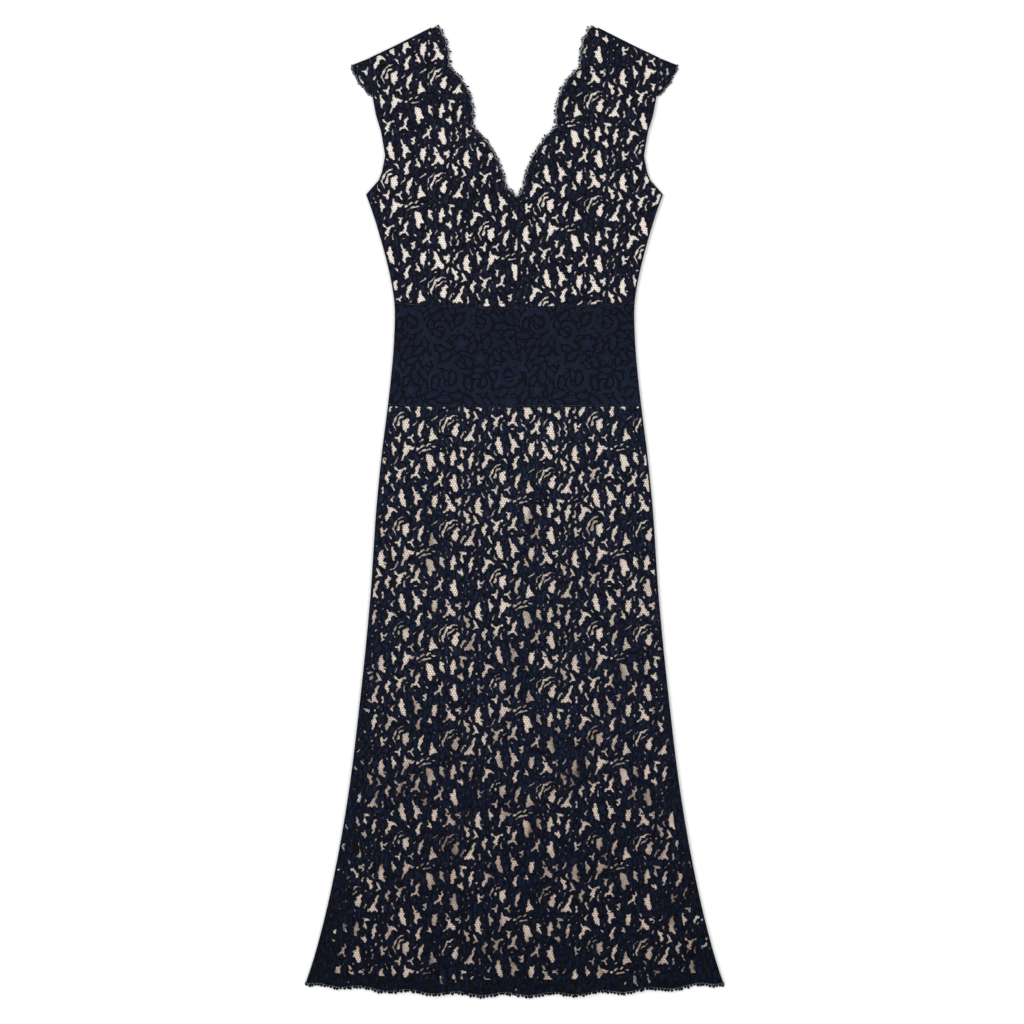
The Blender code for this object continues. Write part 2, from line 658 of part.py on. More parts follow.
def charted_gaps() -> np.ndarray:
    """Return how far inside a gap each place of the repeat lies, negative in the cloth."""
    height, width = round(REPEAT_HEIGHT / CHART_STEP), round(REPEAT_WIDTH / CHART_STEP)
    inside = np.full((height, width), -CHART_WINDOW)
    wide_gaps = []
    for across, up, radius, turn, _, kind in FANS:
        length, half, angle, bend = EYES[kind]
        wide_gaps.append(blade_beads((across, up), length * radius / EYE_UNIT, half, angle, bend * turn))
        add_gap(wide_gaps[-1], inside)
    add_slits(slice(0, EARLY_SLITS), inside)
    for tripod, comet, most in zip(TRIPODS, COMETS, GAPS_OF_A_SIZE):
        wide_gaps += fill_open_places(inside, tripod_ways, tripod, most)
        wide_gaps += fill_open_places(inside, comet_ways, comet, most)
    add_slits(slice(EARLY_SLITS, None), inside)
    leaves = np.full(inside.shape, -CHART_WINDOW)
    for number, gap in enumerate(wide_gaps):
        for end in leaf_ends(number, gap):
            if room_of(end, inside) > LEAF_ENDS[2] / 2 - LEAF_ENDS[1]:
                add_gap(end, leaves)
    return np.minimum(inside, -leaves)


def lace_chart() -> np.ndarray:
    """Chart two repeats side by side.

    Returns:
        How far inside the cloth each place lies, with gaps narrower than CUT_WIDTH closed.
    """
    inside = charted_gaps()
    rows, columns = np.indices(inside.shape)
    across, up = columns * CHART_STEP, rows * CHART_STEP
    aside = EDGE_WANDER * waves(across, up, ASIDE_WAVES)
    above = EDGE_WANDER * waves(across, up, UPWARD_WAVES)
    from_rows = ((up + above) / CHART_STEP).round().astype(int)
    from_columns = ((across + aside) / CHART_STEP).round().astype(int)
    uneven = EDGE_SWELL * waves(across, up, SWELL_WAVES) + EDGE_JAG * waves(across, up, JAG_WAVES)
    one = CLOTH_BIAS + uneven - inside[on_repeat(from_rows, from_columns)]
    cloth = np.concatenate([one, np.roll(one, -ROWS_DOWN, 0)], 1)
    narrowed = shifted_extreme(cloth, CUT_WIDTH / 2, np.maximum)
    return shifted_extreme(narrowed, CUT_WIDTH / 2, np.minimum)


def edge_crossings(chart: np.ndarray, row: int, col: int) -> list[tuple]:
    """Return the edges that a gap's outline crosses in one square of the chart, as pairs along its way."""
    corners = ((row, col), (row, col + 1), (row + 1, col + 1), (row + 1, col))
    low = [chart[corner] < 0 for corner in corners]
    starts = [k for k in range(4) if not low[k] and low[(k + 1) % 4]]
    ends = [k for k in range(4) if low[k] and not low[(k + 1) % 4]]
    edge = lambda k: tuple(sorted((corners[k], corners[(k + 1) % 4])))
    return [(edge(end), edge(starts[(n + 1) % len(starts)])) for n, end in enumerate(ends)] if starts else []


def gap_outlines(chart: np.ndarray) -> list[Outline]:
    """Trace the gaps of the chart, each once, by walking the squares that their outlines cross."""
    rows, columns = chart.shape
    tiled = np.tile(chart, (2, 2))
    following = {}
    low = tiled < 0
    mixed = low[:-1, :-1] + 0 + low[1:, :-1] + low[:-1, 1:] + low[1:, 1:]
    for row, col in zip(*np.nonzero((mixed > 0) & (mixed < 4))):
        following.update(edge_crossings(tiled, int(row), int(col)))
    outlines = []
    while following:
        edge = first = next(iter(following))
        points = []
        while edge in following:
            (r0, c0), (r1, c1) = edge
            share = tiled[r0, c0] / (tiled[r0, c0] - tiled[r1, c1])
            points.append((c0 + (c1 - c0) * share, r0 + (r1 - r0) * share))
            edge = following.pop(edge)
        outline = np.array(points) * CHART_STEP
        middle = outline.mean(0) / (columns * CHART_STEP, rows * CHART_STEP)
        once = np.all((middle >= 0.5) & (middle < 1.5))
        if edge == first and once and abs(signed_area(outline)) > SMALLEST_CUT:
            outlines.append(outline)
    return outlines


def fewer_corners(outline: Outline, corners: int) -> Outline:
    """Drop the corners that change the polygon's area least until few are left."""
    points = list(outline)
    while len(points) > corners:
        around = np.array([points[-1], *points, points[0]])
        back, ahead = around[1:-1] - around[:-2], around[2:] - around[1:-1]
        change = np.abs(back[:, 0] * ahead[:, 1] - back[:, 1] * ahead[:, 0])
        points.pop(int(change.argmin()))
    return np.array(points)


def distance_from(start: np.ndarray, end: np.ndarray, points: np.ndarray) -> np.ndarray:
    """Return each point's distance from the nearest of some straight lines."""
    side = end - start
    offset = points[:, None] - start[None]
    along = np.clip((offset * side).sum(2) / (side**2).sum(1), 0, 1)
    return np.linalg.norm(offset - along[..., None] * side, axis=2).min(1)


def distance_inside(outline: Outline, points: np.ndarray) -> np.ndarray:
    """Return each point's distance from a polygon's sides, negative outside it."""
    start, end = outline, np.roll(outline, -1, axis=0)
    nearest = distance_from(start, end, points)
    above = (start[:, 1] > points[:, None, 1]) != (end[:, 1] > points[:, None, 1])
    rise = np.where(end[:, 1] == start[:, 1], 1.0, end[:, 1] - start[:, 1])
    crossing_x = start[:, 0] + (points[:, None, 1] - start[:, 1]) / rise * (end[:, 0] - start[:, 0])
    crossed = above & (crossing_x > points[:, None, 0])
    return np.where(crossed.sum(1) % 2 == 1, nearest, -nearest)


def placed_gaps(gaps: list[Outline], origin: tuple, outline: Outline, kept_edge: Outline,
                kept_width: float, most: int) -> list[Outline]:
    """Repeat the gaps over a panel and keep the largest that leave its edges whole.

    Args:
        gaps: The gaps of two repeats side by side.
        origin: Where the panel's first pair of repeats starts.
        outline: The panel's outline, along which SIDE_MARGIN stays uncut.
        kept_edge: An open line along which a wider border stays uncut.
        kept_width: The width of that border.
        most: How many gaps to keep.
    """
    low, high = outline.min(0), outline.max(0)
    size = np.array([2 * REPEAT_WIDTH, REPEAT_HEIGHT])
    first = np.floor((low - origin) / size).astype(int) - 2
    last = np.ceil((high - origin) / size).astype(int) + 1
    kept = []
    for gap in gaps:
        few = fewer_corners(gap, CUT_CORNERS)
        for i in range(first[0], last[0]):
            for j in range(first[1], last[1]):
                moved = few + origin + np.array([i, j]) * size
                border = distance_from(kept_edge[:-1], kept_edge[1:], moved).min()
                if border > kept_width and distance_inside(outline, moved).min() > SIDE_MARGIN:
                    kept.append(moved)
    kept.sort(key=lambda gap: -abs(signed_area(gap)))
    return kept[:most]


# ---- Cloth walls -------------------------------------------------------------------------------------------
def inner_points(outline: Outline, gaps: list[Outline], pitch: tuple) -> np.ndarray:
    """Return a staggered grid of points inside a panel, clear of its edges and gaps."""
    if not pitch[0]:
        return np.zeros((0, 2))
    low = np.floor(outline.min(0) / pitch).astype(int) - 1
    high = np.ceil(outline.max(0) / pitch).astype(int) + 1
    rows, columns = np.mgrid[low[1]:high[1], low[0]:high[0]]
    grid = np.stack([(columns + rows % 2 / 2) * pitch[0], rows * pitch[1]], 2).reshape(-1, 2)
    grid = grid[distance_inside(outline, grid) > pitch[0] * 0.45]
    for gap in gaps:
        near = np.linalg.norm(grid - gap.mean(0), axis=1) < 0.05
        clear = np.ones(len(grid), bool)
        clear[near] = distance_inside(gap, grid[near]) < -pitch[0] * 0.22
        grid = grid[clear]
    return grid


def panel_triangles(outline: Outline, gaps: list[Outline], pitch: tuple) -> tuple[np.ndarray, list]:
    """Triangulate a panel between its outline and its gaps."""
    loops = [outline, *gaps]
    points = np.concatenate([*loops, inner_points(outline, gaps, pitch)])
    edges, first = [], 0
    for loop in loops:
        edges += [(first + k, first + (k + 1) % len(loop)) for k in range(len(loop))]
        first += len(loop)
    result = delaunay_2d_cdt([tuple(point) for point in points], edges, [], 0, 1e-7)
    corners, triangles = np.array([tuple(v) for v in result[0]]), np.array(result[2])
    middles = corners[triangles].mean(1)
    keep = distance_inside(outline, middles) > 0
    for gap in gaps:
        near = np.linalg.norm(middles - gap.mean(0), axis=1) < 0.05
        inside = np.zeros(len(middles), bool)
        inside[near] = distance_inside(gap, middles[near]) > 0
        keep &= ~inside
    return corners, triangles[keep].tolist()


def placed(name: str, data: bpy.types.ID, material: bpy.types.Material) -> bpy.types.Object:
    """Put a mesh or curve into the gown's collection as a named object."""
    data.materials.append(material)
    piece = bpy.data.objects.new(name, data)
    bpy.data.collections["lace evening gown"].objects.link(piece)
    return piece


def flat_panel(name: str, outline: Outline, thickness: float, material: bpy.types.Material) -> None:
    """Make a plain panel that lies on the surface, as a filled outline with an extrusion."""
    curve = bpy.data.curves.new(name, "CURVE")
    curve.dimensions = "2D"
    curve.fill_mode = "BOTH"
    curve.extrude = thickness / 2
    line = curve.splines.new("POLY")
    line.points.add(len(outline) - 1)
    for point, (x, y) in zip(line.points, outline):
        point.co = (x, y, 0.0, 1.0)
    line.use_cyclic_u = True
    panel = placed(name, curve, material)
    panel.location.z = thickness / 2


def cloth_sheet(outline: Outline, gaps: list[Outline], pitch: tuple, under: Height) -> bmesh.types.BMesh:
    """Make a panel's open underside, at its height above the surface."""
    corners, triangles = panel_triangles(outline, gaps, pitch)
    sheet = bmesh.new()
    heights = under(corners[:, 0], corners[:, 1])
    points = [sheet.verts.new((x, y, z)) for (x, y), z in zip(corners, heights)]
    for triangle in triangles:
        sheet.faces.new([points[k] for k in triangle])
    loose = [point for point in points if not point.link_faces]
    bmesh.ops.delete(sheet, geom=loose, context="VERTS")
    return sheet


def cloth_wall(name: str, outline: Outline, under: Height, thickness: float, material: bpy.types.Material,
               pitch: tuple = PLAIN_PITCH, gaps: list[Outline] = ()) -> bpy.types.Object:
    """Make a wall of cloth that follows a height, with its gaps cut through."""
    sheet = cloth_sheet(outline, list(gaps), pitch, under)
    mesh = bpy.data.meshes.new(name)
    sheet.to_mesh(mesh)
    sheet.free()
    wall = placed(name, mesh, material)
    solidify = wall.modifiers.new("thickness", "SOLIDIFY")
    solidify.thickness = thickness
    solidify.offset = 1.0
    return wall


def raised_wall(name: str, outline: Outline, low: float, over: Height, pitch: tuple,
                material: bpy.types.Material) -> None:
    """Make a wall with a flat underside and a top that is raised in places."""
    sheet = cloth_sheet(outline, [], pitch, level(low))
    lifted = bmesh.ops.extrude_face_region(sheet, geom=sheet.faces[:])
    upper = [element for element in lifted["geom"] if isinstance(element, bmesh.types.BMVert)]
    x, y = np.array([v.co.x for v in upper]), np.array([v.co.y for v in upper])
    for vertex, z in zip(upper, over(x, y)):
        vertex.co.z = z
    bmesh.ops.recalc_face_normals(sheet, faces=sheet.faces[:])
    mesh = bpy.data.meshes.new(name)
    sheet.to_mesh(mesh)
    sheet.free()
    placed(name, mesh, material)


def cloth_material(name: str, colour: tuple, roughness: float) -> bpy.types.Material:
    """Make a plain cloth material."""
    material = bpy.data.materials.new(name)
    material.use_nodes = True
    shader = material.node_tree.nodes["Principled BSDF"]
    shader.inputs["Base Color"].default_value = (*colour, 1.0)
    shader.inputs["Roughness"].default_value = roughness
    shader.inputs["Metallic"].default_value = 0.0
    return material


# ---- The gown's pieces -------------------------------------------------------------------------------------
def make_back(cloth: bpy.types.Material) -> None:
    """Lay the plain back panels flat on the surface."""
    neck = np.array([(-distance, height_at(drop)) for drop, distance in BACK_NECK])
    for name, side in SIDES.items():
        outline = bodice_half(side, neck * (-side, 1))
        flat_panel(f"back_bodice_{name}", inset(outline, SEAM_GAP / 2), BACK_THICKNESS, cloth)
    flat_panel("back_waistband", inset(band_outline(EDGE_PITCH), SEAM_GAP / 2), BACK_THICKNESS, cloth)
    skirt = skirt_outline(HEM_SCALLOP_PITCH / 4)
    flat_panel("back_skirt", inset(skirt, SEAM_GAP / 2), BACK_THICKNESS, cloth)


def make_front_lining(cloth: bpy.types.Material) -> None:
    """Lay the nude lining of the front bodice and skirt on the back."""
    under = folded(LINING_UNDERSIDE)
    for name, side in SIDES.items():
        outline = inset(bodice_half(side, front_neck(side, steps=1)), LINING_HOLD_BACK)
        cloth_wall(f"front_bodice_lining_{name}", outline, under, LINING_THICKNESS, cloth, BODICE_PITCH)
    skirt = inset(lining_outline(), SEAM_GAP / 2)
    cloth_wall("front_skirt_lining", skirt, under, LINING_THICKNESS, cloth, SKIRT_LINING_PITCH)


def make_front_lace(cloth: bpy.types.Material, gaps: list[Outline]) -> None:
    """Lay the cut lace of the front bodice and skirt on the lining."""
    under = folded(LACE_UNDERSIDE)
    for name, side in SIDES.items():
        neck = front_neck(side, NECK_STEPS)
        outline = inset(bodice_half(side, neck), SEAM_GAP / 2)
        cuts = placed_gaps(gaps, BODICE_LACE_ORIGINS[name], outline, neck, NECK_MARGIN, BODICE_CUTS)
        cloth_wall(f"front_bodice_lace_{name}", outline, under, LACE_THICKNESS, cloth, BODICE_PITCH, cuts)
    outline = inset(skirt_outline(HEM_SCALLOP_PITCH / 6), SEAM_GAP / 2)
    hem = seam_points(-SIDE_SEAM[-1][1], SIDE_SEAM[-1][1], hem_drop)
    cuts = placed_gaps(gaps, SKIRT_LACE_ORIGIN, outline, hem, HEM_MARGIN, SKIRT_CUTS)
    under = skirt_lace(LACE_UNDERSIDE)
    cloth_wall("front_skirt_lace", outline, under, LACE_THICKNESS, cloth, SKIRT_PITCH, cuts)


def scroll_depth(x: np.ndarray, y: np.ndarray) -> np.ndarray:
    """Return how far inside the waistband's scrolls each place lies, negative outside them."""
    width, height = SCROLL_REPEAT
    inside = np.full(x.shape, -1.0)
    for across, up, first, last, start, sweep, half in SCROLLS:
        for bead_x, bead_y, bead_half in arc_beads((across, up), first, last, start, sweep, half):
            aside = (x - SCROLL_ORIGIN[0] - bead_x + width / 2) % width - width / 2
            above = (y - SCROLL_ORIGIN[1] - bead_y + height / 2) % height - height / 2
            inside = np.maximum(inside, bead_half - np.hypot(aside, above))
    return inside


def make_waistband(cloth: bpy.types.Material) -> None:
    """Make the front waistband, with its corded scrolls raised over a plain underside."""
    top = LINING_UNDERSIDE + WAISTBAND_THICKNESS
    over = lambda x, y: top + APPLIQUE_RISE * smooth_step(scroll_depth(x, y) / SCROLL_SOFTNESS + 0.5)
    outline = inset(band_outline(2 * WAISTBAND_PITCH[0]), SEAM_GAP / 2)
    raised_wall("front_waistband", outline, LINING_UNDERSIDE, over, WAISTBAND_PITCH, cloth)


def make_caps(cloth: bpy.types.Material) -> None:
    """Make the cap sleeves, each folded over the shoulder line so that its halves lie on each other."""
    left = inset(cap_outline(), SEAM_GAP)
    slit = inset(left, -CAP_SLIT_OVERRUN) - (0.0, CAP_FOLD_DEPTH + CAP_SLIT_OVERRUN)
    layer = BACK_THICKNESS
    cutters = bpy.data.collections["cutters"]
    for name, side in SIDES.items():
        facing = (-side, 1)
        cap = cloth_wall(f"cap_sleeve_{name}", left * facing, level(0.0), 2 * layer + SEAM_GAP, cloth)
        cutter = cloth_wall(f"cap_slit_{name}", slit * facing, level(layer), SEAM_GAP, cloth)
        cutters.objects.link(cutter)
        bpy.data.collections["lace evening gown"].objects.unlink(cutter)
        cutter.hide_render = True
        cutter.display_type = "WIRE"
        cut = cap.modifiers.new("slit", "BOOLEAN")
        cut.operation = "DIFFERENCE"
        cut.object = cutter


def main() -> None:
    """Build the gown."""
    for old in list(bpy.data.objects):
        bpy.data.objects.remove(old)
    for name in ("lace evening gown", "cutters"):
        bpy.context.scene.collection.children.link(bpy.data.collections.new(name))
    navy_lace = cloth_material("navy lace", (0.012, 0.014, 0.026), 0.75)
    navy_corded = cloth_material("navy corded lace", (0.012, 0.017, 0.045), 0.7)
    nude = cloth_material("nude lining", (0.70, 0.55, 0.45), 0.55)
    gaps = gap_outlines(lace_chart())
    make_back(navy_lace)
    make_front_lining(nude)
    make_front_lace(navy_lace, gaps)
    make_waistband(navy_corded)
    make_caps(navy_lace)


main()
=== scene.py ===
"""Dress the lace evening gown: cut lace over a nude lining, net, cords, lashed edges and a corded waistband.

The gown lies on its back, neck towards +Y and front up. Sizes are metres. Places down the gown are given as
drops from the shoulder tips.
"""

import logging
import math
from collections.abc import Callable
from dataclasses import dataclass, field
from enum import Enum
from functools import cached_property

import bpy
import numpy as np
from mathutils.geometry import delaunay_2d_cdt
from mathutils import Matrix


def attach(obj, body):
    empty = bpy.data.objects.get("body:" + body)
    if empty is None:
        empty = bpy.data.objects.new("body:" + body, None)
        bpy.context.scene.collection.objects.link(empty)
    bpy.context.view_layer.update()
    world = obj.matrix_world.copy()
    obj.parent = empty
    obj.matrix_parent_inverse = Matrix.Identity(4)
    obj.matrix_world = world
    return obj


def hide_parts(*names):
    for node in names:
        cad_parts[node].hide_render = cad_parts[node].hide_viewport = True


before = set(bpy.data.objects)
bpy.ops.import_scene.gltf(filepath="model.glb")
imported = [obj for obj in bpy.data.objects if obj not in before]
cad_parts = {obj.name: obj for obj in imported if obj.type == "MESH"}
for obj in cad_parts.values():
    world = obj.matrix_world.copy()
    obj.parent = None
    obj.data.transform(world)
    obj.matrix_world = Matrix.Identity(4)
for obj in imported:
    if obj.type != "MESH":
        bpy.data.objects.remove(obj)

log = logging.getLogger("gown")

Array = np.ndarray
Points = np.ndarray
Pair = tuple[float, float]
Triple = tuple[float, float, float]
Surface = Callable[[Array, Array], Array]
Socket = bpy.types.NodeSocket
Material = bpy.types.Material
Piece = bpy.types.Object


class Side(Enum):
    """A half of the gown as it is seen from the front."""

    LEFT = -1
    RIGHT = 1

    @property
    def word(self) -> str:
        """Return the side's name in lower case."""
        return self.name.lower()


# ---- Small helpers -----------------------------------------------------------------------------------------
def smooth_step(share: Array) -> Array:
    """Ease from 0 to 1 over a share that runs from 0 to 1."""
    share = np.clip(share, 0.0, 1.0)
    return share * share * (3 - 2 * share)


@dataclass(frozen=True)
class Growth:
    """A value that grows by a rise, over a run from a start."""

    least: float
    rise: float
    start: float
    run: float

    def at(self, place: Array) -> Array:
        """Return the value at a place."""
        return self.least + self.rise * smooth_step((place - self.start) / self.run)


def column(table: tuple, index: int) -> Array:
    """Return one column of a table of rows."""
    return np.array([row[index] for row in table])


def signed_area(loop: Points) -> float:
    """Return a polygon's area, positive when it runs anticlockwise."""
    x, y = loop[:, 0], loop[:, 1]
    return 0.5 * float((x * np.roll(y, -1) - y * np.roll(x, -1)).sum())


def facing_round(loop: Points) -> Points:
    """Return a polygon that runs anticlockwise."""
    return loop[::-1] if signed_area(loop) < 0 else loop


def evenly(line: Points, pitch: float, closed: bool = False) -> Points:
    """Return points at an even pitch along a line.

    Args:
        line: The line's points.
        pitch: The wanted distance between points.
        closed: Whether the line returns to its start.

    Returns:
        The points, without a repeat of the first one on a closed line.
    """
    if closed:
        line = np.concatenate([line, line[:1]])
    run = np.concatenate([[0.0], np.cumsum(np.linalg.norm(np.diff(line, axis=0), axis=1))])
    steps = max(2, round(run[-1] / pitch))
    wanted = np.linspace(0.0, run[-1], steps + 1)
    points = np.stack([np.interp(wanted, run, line[:, k]) for k in range(line.shape[1])], 1)
    return points[:-1] if closed else points


def outward(line: Points, closed: bool = False) -> Points:
    """Return the unit normals to the right of a line's direction.

    Args:
        line: The line's points.
        closed: Whether the line returns to its start.

    Returns:
        A unit normal for each point.
    """
    if closed:
        ahead = np.roll(line, -1, axis=0) - np.roll(line, 1, axis=0)
    else:
        ahead = np.gradient(line, axis=0)
    ahead /= np.maximum(np.linalg.norm(ahead, axis=1, keepdims=True), 1e-12)
    return np.stack([ahead[:, 1], -ahead[:, 0]], 1)


def scalloped(line: Points, width: float, height: float, pitch: float) -> Points:
    """Add round bumps on the right of a line's direction.

    Args:
        line: The line's points.
        width: A bump's width.
        height: A bump's height.
        pitch: The distance between the new line's points.

    Returns:
        The bumpy line.
    """
    points = evenly(line, pitch)
    run = np.arange(len(points)) * pitch
    bumps = max(1, round(run[-1] / width))
    bump = np.abs(np.sin(math.pi * bumps * run / run[-1])) ** 0.7
    ends = smooth_step(np.minimum(run, run[-1] - run) / (3 * pitch))
    return points + outward(points) * (height * bump * ends)[:, None]


def inset(outline: Points, distance: float) -> Points:
    """Move an anticlockwise outline's points inwards along their mean normals.

    Args:
        outline: An anticlockwise polygon.
        distance: How far its points move in.

    Returns:
        The smaller polygon.
    """
    before, after = np.roll(outline, 1, axis=0), np.roll(outline, -1, axis=0)
    back, ahead = outline - before, after - outline
    back /= np.linalg.norm(back, axis=1, keepdims=True)
    ahead /= np.linalg.norm(ahead, axis=1, keepdims=True)
    inward = np.stack([-(back[:, 1] + ahead[:, 1]), back[:, 0] + ahead[:, 0]], 1)
    inward /= np.linalg.norm(inward, axis=1, keepdims=True)
    corner = np.clip(inward[:, 1] * ahead[:, 0] - inward[:, 0] * ahead[:, 1], 0.5, 1.0)
    return outline + inward * (distance / corner)[:, None]


AT_ONCE = 4000  # places measured at once, to save memory


def distance_inside(outline: Points, points: Points) -> Array:
    """Work out how far inside a polygon places lie.

    Args:
        outline: The polygon.
        points: The places.

    Returns:
        The distances from its sides, negative outside it.
    """
    start, end = outline, np.roll(outline, -1, axis=0)
    side = end - start
    length = np.maximum((side**2).sum(1), 1e-18)
    inside = np.empty(len(points))
    for first in range(0, len(points), AT_ONCE):
        part = points[first:first + AT_ONCE]
        offset = part[:, None] - start[None]
        along = np.clip((offset * side).sum(2) / length, 0, 1)
        nearest = np.linalg.norm(offset - along[..., None] * side, axis=2).min(1)
        above = (start[:, 1] > part[:, None, 1]) != (end[:, 1] > part[:, None, 1])
        rise = np.where(side[:, 1] == 0, 1.0, side[:, 1])
        crossing = start[:, 0] + offset[..., 1] / rise * side[:, 0]
        crossed = above & (crossing > part[:, None, 0])
        inside[first:first + AT_ONCE] = np.where(crossed.sum(1) % 2 == 1, nearest, -nearest)
    return inside


# Which edges of a square the outline of a low area joins, for each set of low corners. Corners and edges are
# numbered anticlockwise from the lower left corner and the lower edge.
SQUARE_CASES = {
    1: ((0, 3),), 2: ((1, 0),), 3: ((1, 3),), 4: ((2, 1),), 5: ((0, 3), (2, 1)), 6: ((2, 0),), 7: ((2, 3),),
    8: ((3, 2),), 9: ((0, 2),), 10: ((1, 0), (3, 2)), 11: ((1, 2),), 12: ((3, 1),), 13: ((0, 1),),
    14: ((3, 0),),
}


def trace_low(grid: Array) -> list[Points]:
    """Trace the outlines of a grid's negative areas.

    Args:
        grid: Values on a square grid, positive along its border.

    Returns:
        Closed outlines in grid steps, anticlockwise round a low area.
    """
    rows, columns = grid.shape
    low = grid < 0
    case = low[:-1, :-1] * 1 + low[:-1, 1:] * 2 + low[1:, 1:] * 4 + low[1:, :-1] * 8
    upright = rows * columns
    starts, ends = [], []
    for number, pairs in SQUARE_CASES.items():
        row, col = np.nonzero(case == number)
        here = row * columns + col
        edges = (here, upright + here + 1, here + columns, upright + here)
        for start, end in pairs:
            starts.append(edges[start])
            ends.append(edges[end])
    start, end = np.concatenate(starts), np.concatenate(ends)
    is_upright = start >= upright
    row, col = np.divmod(np.where(is_upright, start - upright, start), columns)
    near = grid[row, col]
    far = grid[np.minimum(row + is_upright, rows - 1), np.minimum(col + ~is_upright, columns - 1)]
    share = near / (near - far)
    points = np.stack([col + np.where(is_upright, 0, share), row + np.where(is_upright, share, 0)], 1)
    number_of = {int(edge): k for k, edge in enumerate(start)}
    following = [number_of[int(edge)] for edge in end]
    seen = np.zeros(len(start), bool)
    loops = []
    for first in range(len(start)):
        walk, here = [], first
        while not seen[here]:
            seen[here] = True
            walk.append(here)
            here = following[here]
        if walk:
            loops.append(points[walk])
    return loops


def thinned(loops: list[Points], least: float, rounds: int = 14) -> list[Points]:
    """Drop the points that change the outlines by less than a small triangle.

    Args:
        loops: Closed outlines.
        least: The area of the smallest triangle that stays.
        rounds: How often the outlines are gone over, at most.

    Returns:
        The outlines with fewer points.
    """
    points = np.concatenate(loops)
    owner = np.repeat(np.arange(len(loops)), [len(loop) for loop in loops])
    for _ in range(rounds):
        first = np.searchsorted(owner, owner, "left")
        last = np.searchsorted(owner, owner, "right") - 1
        here = np.arange(len(owner))
        before = np.where(here == first, last, here - 1)
        after = np.where(here == last, first, here + 1)
        back, ahead = points - points[before], points[after] - points
        area = np.abs(back[:, 0] * ahead[:, 1] - back[:, 1] * ahead[:, 0]) / 2
        drop = (area < least) & (area < area[before]) & (area <= area[after]) & (last - first > 4)
        if not drop.any():
            break
        points, owner = points[~drop], owner[~drop]
    return np.split(points, np.nonzero(np.diff(owner))[0] + 1)


TRIANGLE_HEIGHT = 0.87  # of an even triangle, as a share of its side


def staggered(outline: Points, pitch: Pair) -> Points:
    """Return a staggered grid over an outline's box.

    Args:
        outline: The outline to cover.
        pitch: The steps across and up.

    Returns:
        The grid's points.
    """
    low = np.floor(outline.min(0) / pitch).astype(int) - 1
    high = np.ceil(outline.max(0) / pitch).astype(int) + 1
    rows, columns = np.mgrid[low[1]:high[1], low[0]:high[0]]
    return np.stack([(columns + rows % 2 / 2) * pitch[0], rows * pitch[1]], 2).reshape(-1, 2)


def filled(outline: Points, gaps: list[Points], inner: Points) -> tuple[Points, Array]:
    """Triangulate the cloth between an outline and its gaps.

    Args:
        outline: The anticlockwise outer edge.
        gaps: Closed edges of gaps, and of cloth that stands in a gap.
        inner: Points inside the cloth.

    Returns:
        The corners and the triangles, facing up.
    """
    loops = [outline, *[facing_round(loop) for loop in gaps]]
    ends = np.cumsum([len(loop) for loop in loops])
    areas = [list(range(end - len(loop), end)) for loop, end in zip(loops, ends)]
    corners, _, triangles, _, _, areas_round = delaunay_2d_cdt(
        np.concatenate([*loops, inner]).tolist(), [], areas, 1, 1e-7)
    is_cloth = [len(round_it) % 2 == 1 for round_it in areas_round]
    return np.array([tuple(corner) for corner in corners]), np.array(triangles)[is_cloth]


def make_piece(name: str, corners: Points, faces: list[Array], finish: Material,
               values: dict[str, Array] | None = None, sharp: float = 40.0) -> Piece:
    """Make a mesh object at the origin.

    Args:
        name: The piece's name.
        corners: An array of x, y, z rows.
        faces: Arrays of faces, each of one number of corners.
        finish: The piece's material.
        values: Named numbers of each corner for the finish.
        sharp: The angle in degrees past which an edge is sharp.

    Returns:
        The new object, riding on the gown.
    """
    mesh = bpy.data.meshes.new(name)
    mesh.vertices.add(len(corners))
    mesh.vertices.foreach_set("co", np.asarray(corners, np.float32).ravel())
    faces = [np.asarray(part) for part in faces if len(part)]
    sizes = np.concatenate([np.full(len(part), part.shape[1]) for part in faces])
    mesh.loops.add(int(sizes.sum()))
    mesh.loops.foreach_set("vertex_index", np.concatenate([part.ravel() for part in faces]).astype(np.int32))
    mesh.polygons.add(len(sizes))
    mesh.polygons.foreach_set("loop_start", (np.cumsum(sizes) - sizes).astype(np.int32))
    mesh.polygons.foreach_set("loop_total", sizes.astype(np.int32))
    mesh.update(calc_edges=True)
    mesh.validate()
    mesh.shade_smooth()
    mesh.set_sharp_from_angle(angle=math.radians(sharp))
    for key, numbers in (values or {}).items():
        layer = mesh.attributes.new(key, "FLOAT", "POINT")
        layer.data.foreach_set("value", np.asarray(numbers, np.float32))
    mesh.materials.append(finish)
    piece = bpy.data.objects.new(name, mesh)
    bpy.context.scene.collection.objects.link(piece)
    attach(piece, "root")
    log.info("%s: %d triangles", name, (sizes - 2).sum())
    return piece


def shell(corners: Points, triangles: Array, low: Array, high: Array) -> tuple[Points, list[Array]]:
    """Close a flat triangulation into a thin shell between two heights.

    Args:
        corners: The flat corners.
        triangles: The triangles, facing up.
        low: The underside's height at each corner.
        high: The top's height at each corner.

    Returns:
        The shell's corners, and its triangles and walls.
    """
    count = len(corners)
    edges = np.concatenate([triangles[:, [0, 1]], triangles[:, [1, 2]], triangles[:, [2, 0]]])
    key = edges[:, 0] * count + edges[:, 1]
    twin = edges[:, 1] * count + edges[:, 0]
    rim = edges[~np.isin(key, twin)]
    top = np.column_stack([corners, high])
    bottom = np.column_stack([corners, low])
    walls = np.stack([rim[:, 1], rim[:, 0], rim[:, 0] + count, rim[:, 1] + count], 1)
    return np.concatenate([top, bottom]), [triangles, triangles[:, ::-1] + count, walls]


# ---- Finishes ----------------------------------------------------------------------------------------------
GOWN_LENGTH = 1.5  # about, as the finishes' tones change down the gown
WAVE_TURN = 6.28  # a wave texture of scale 1 / (WAVE_TURN * width) has threads of about that width


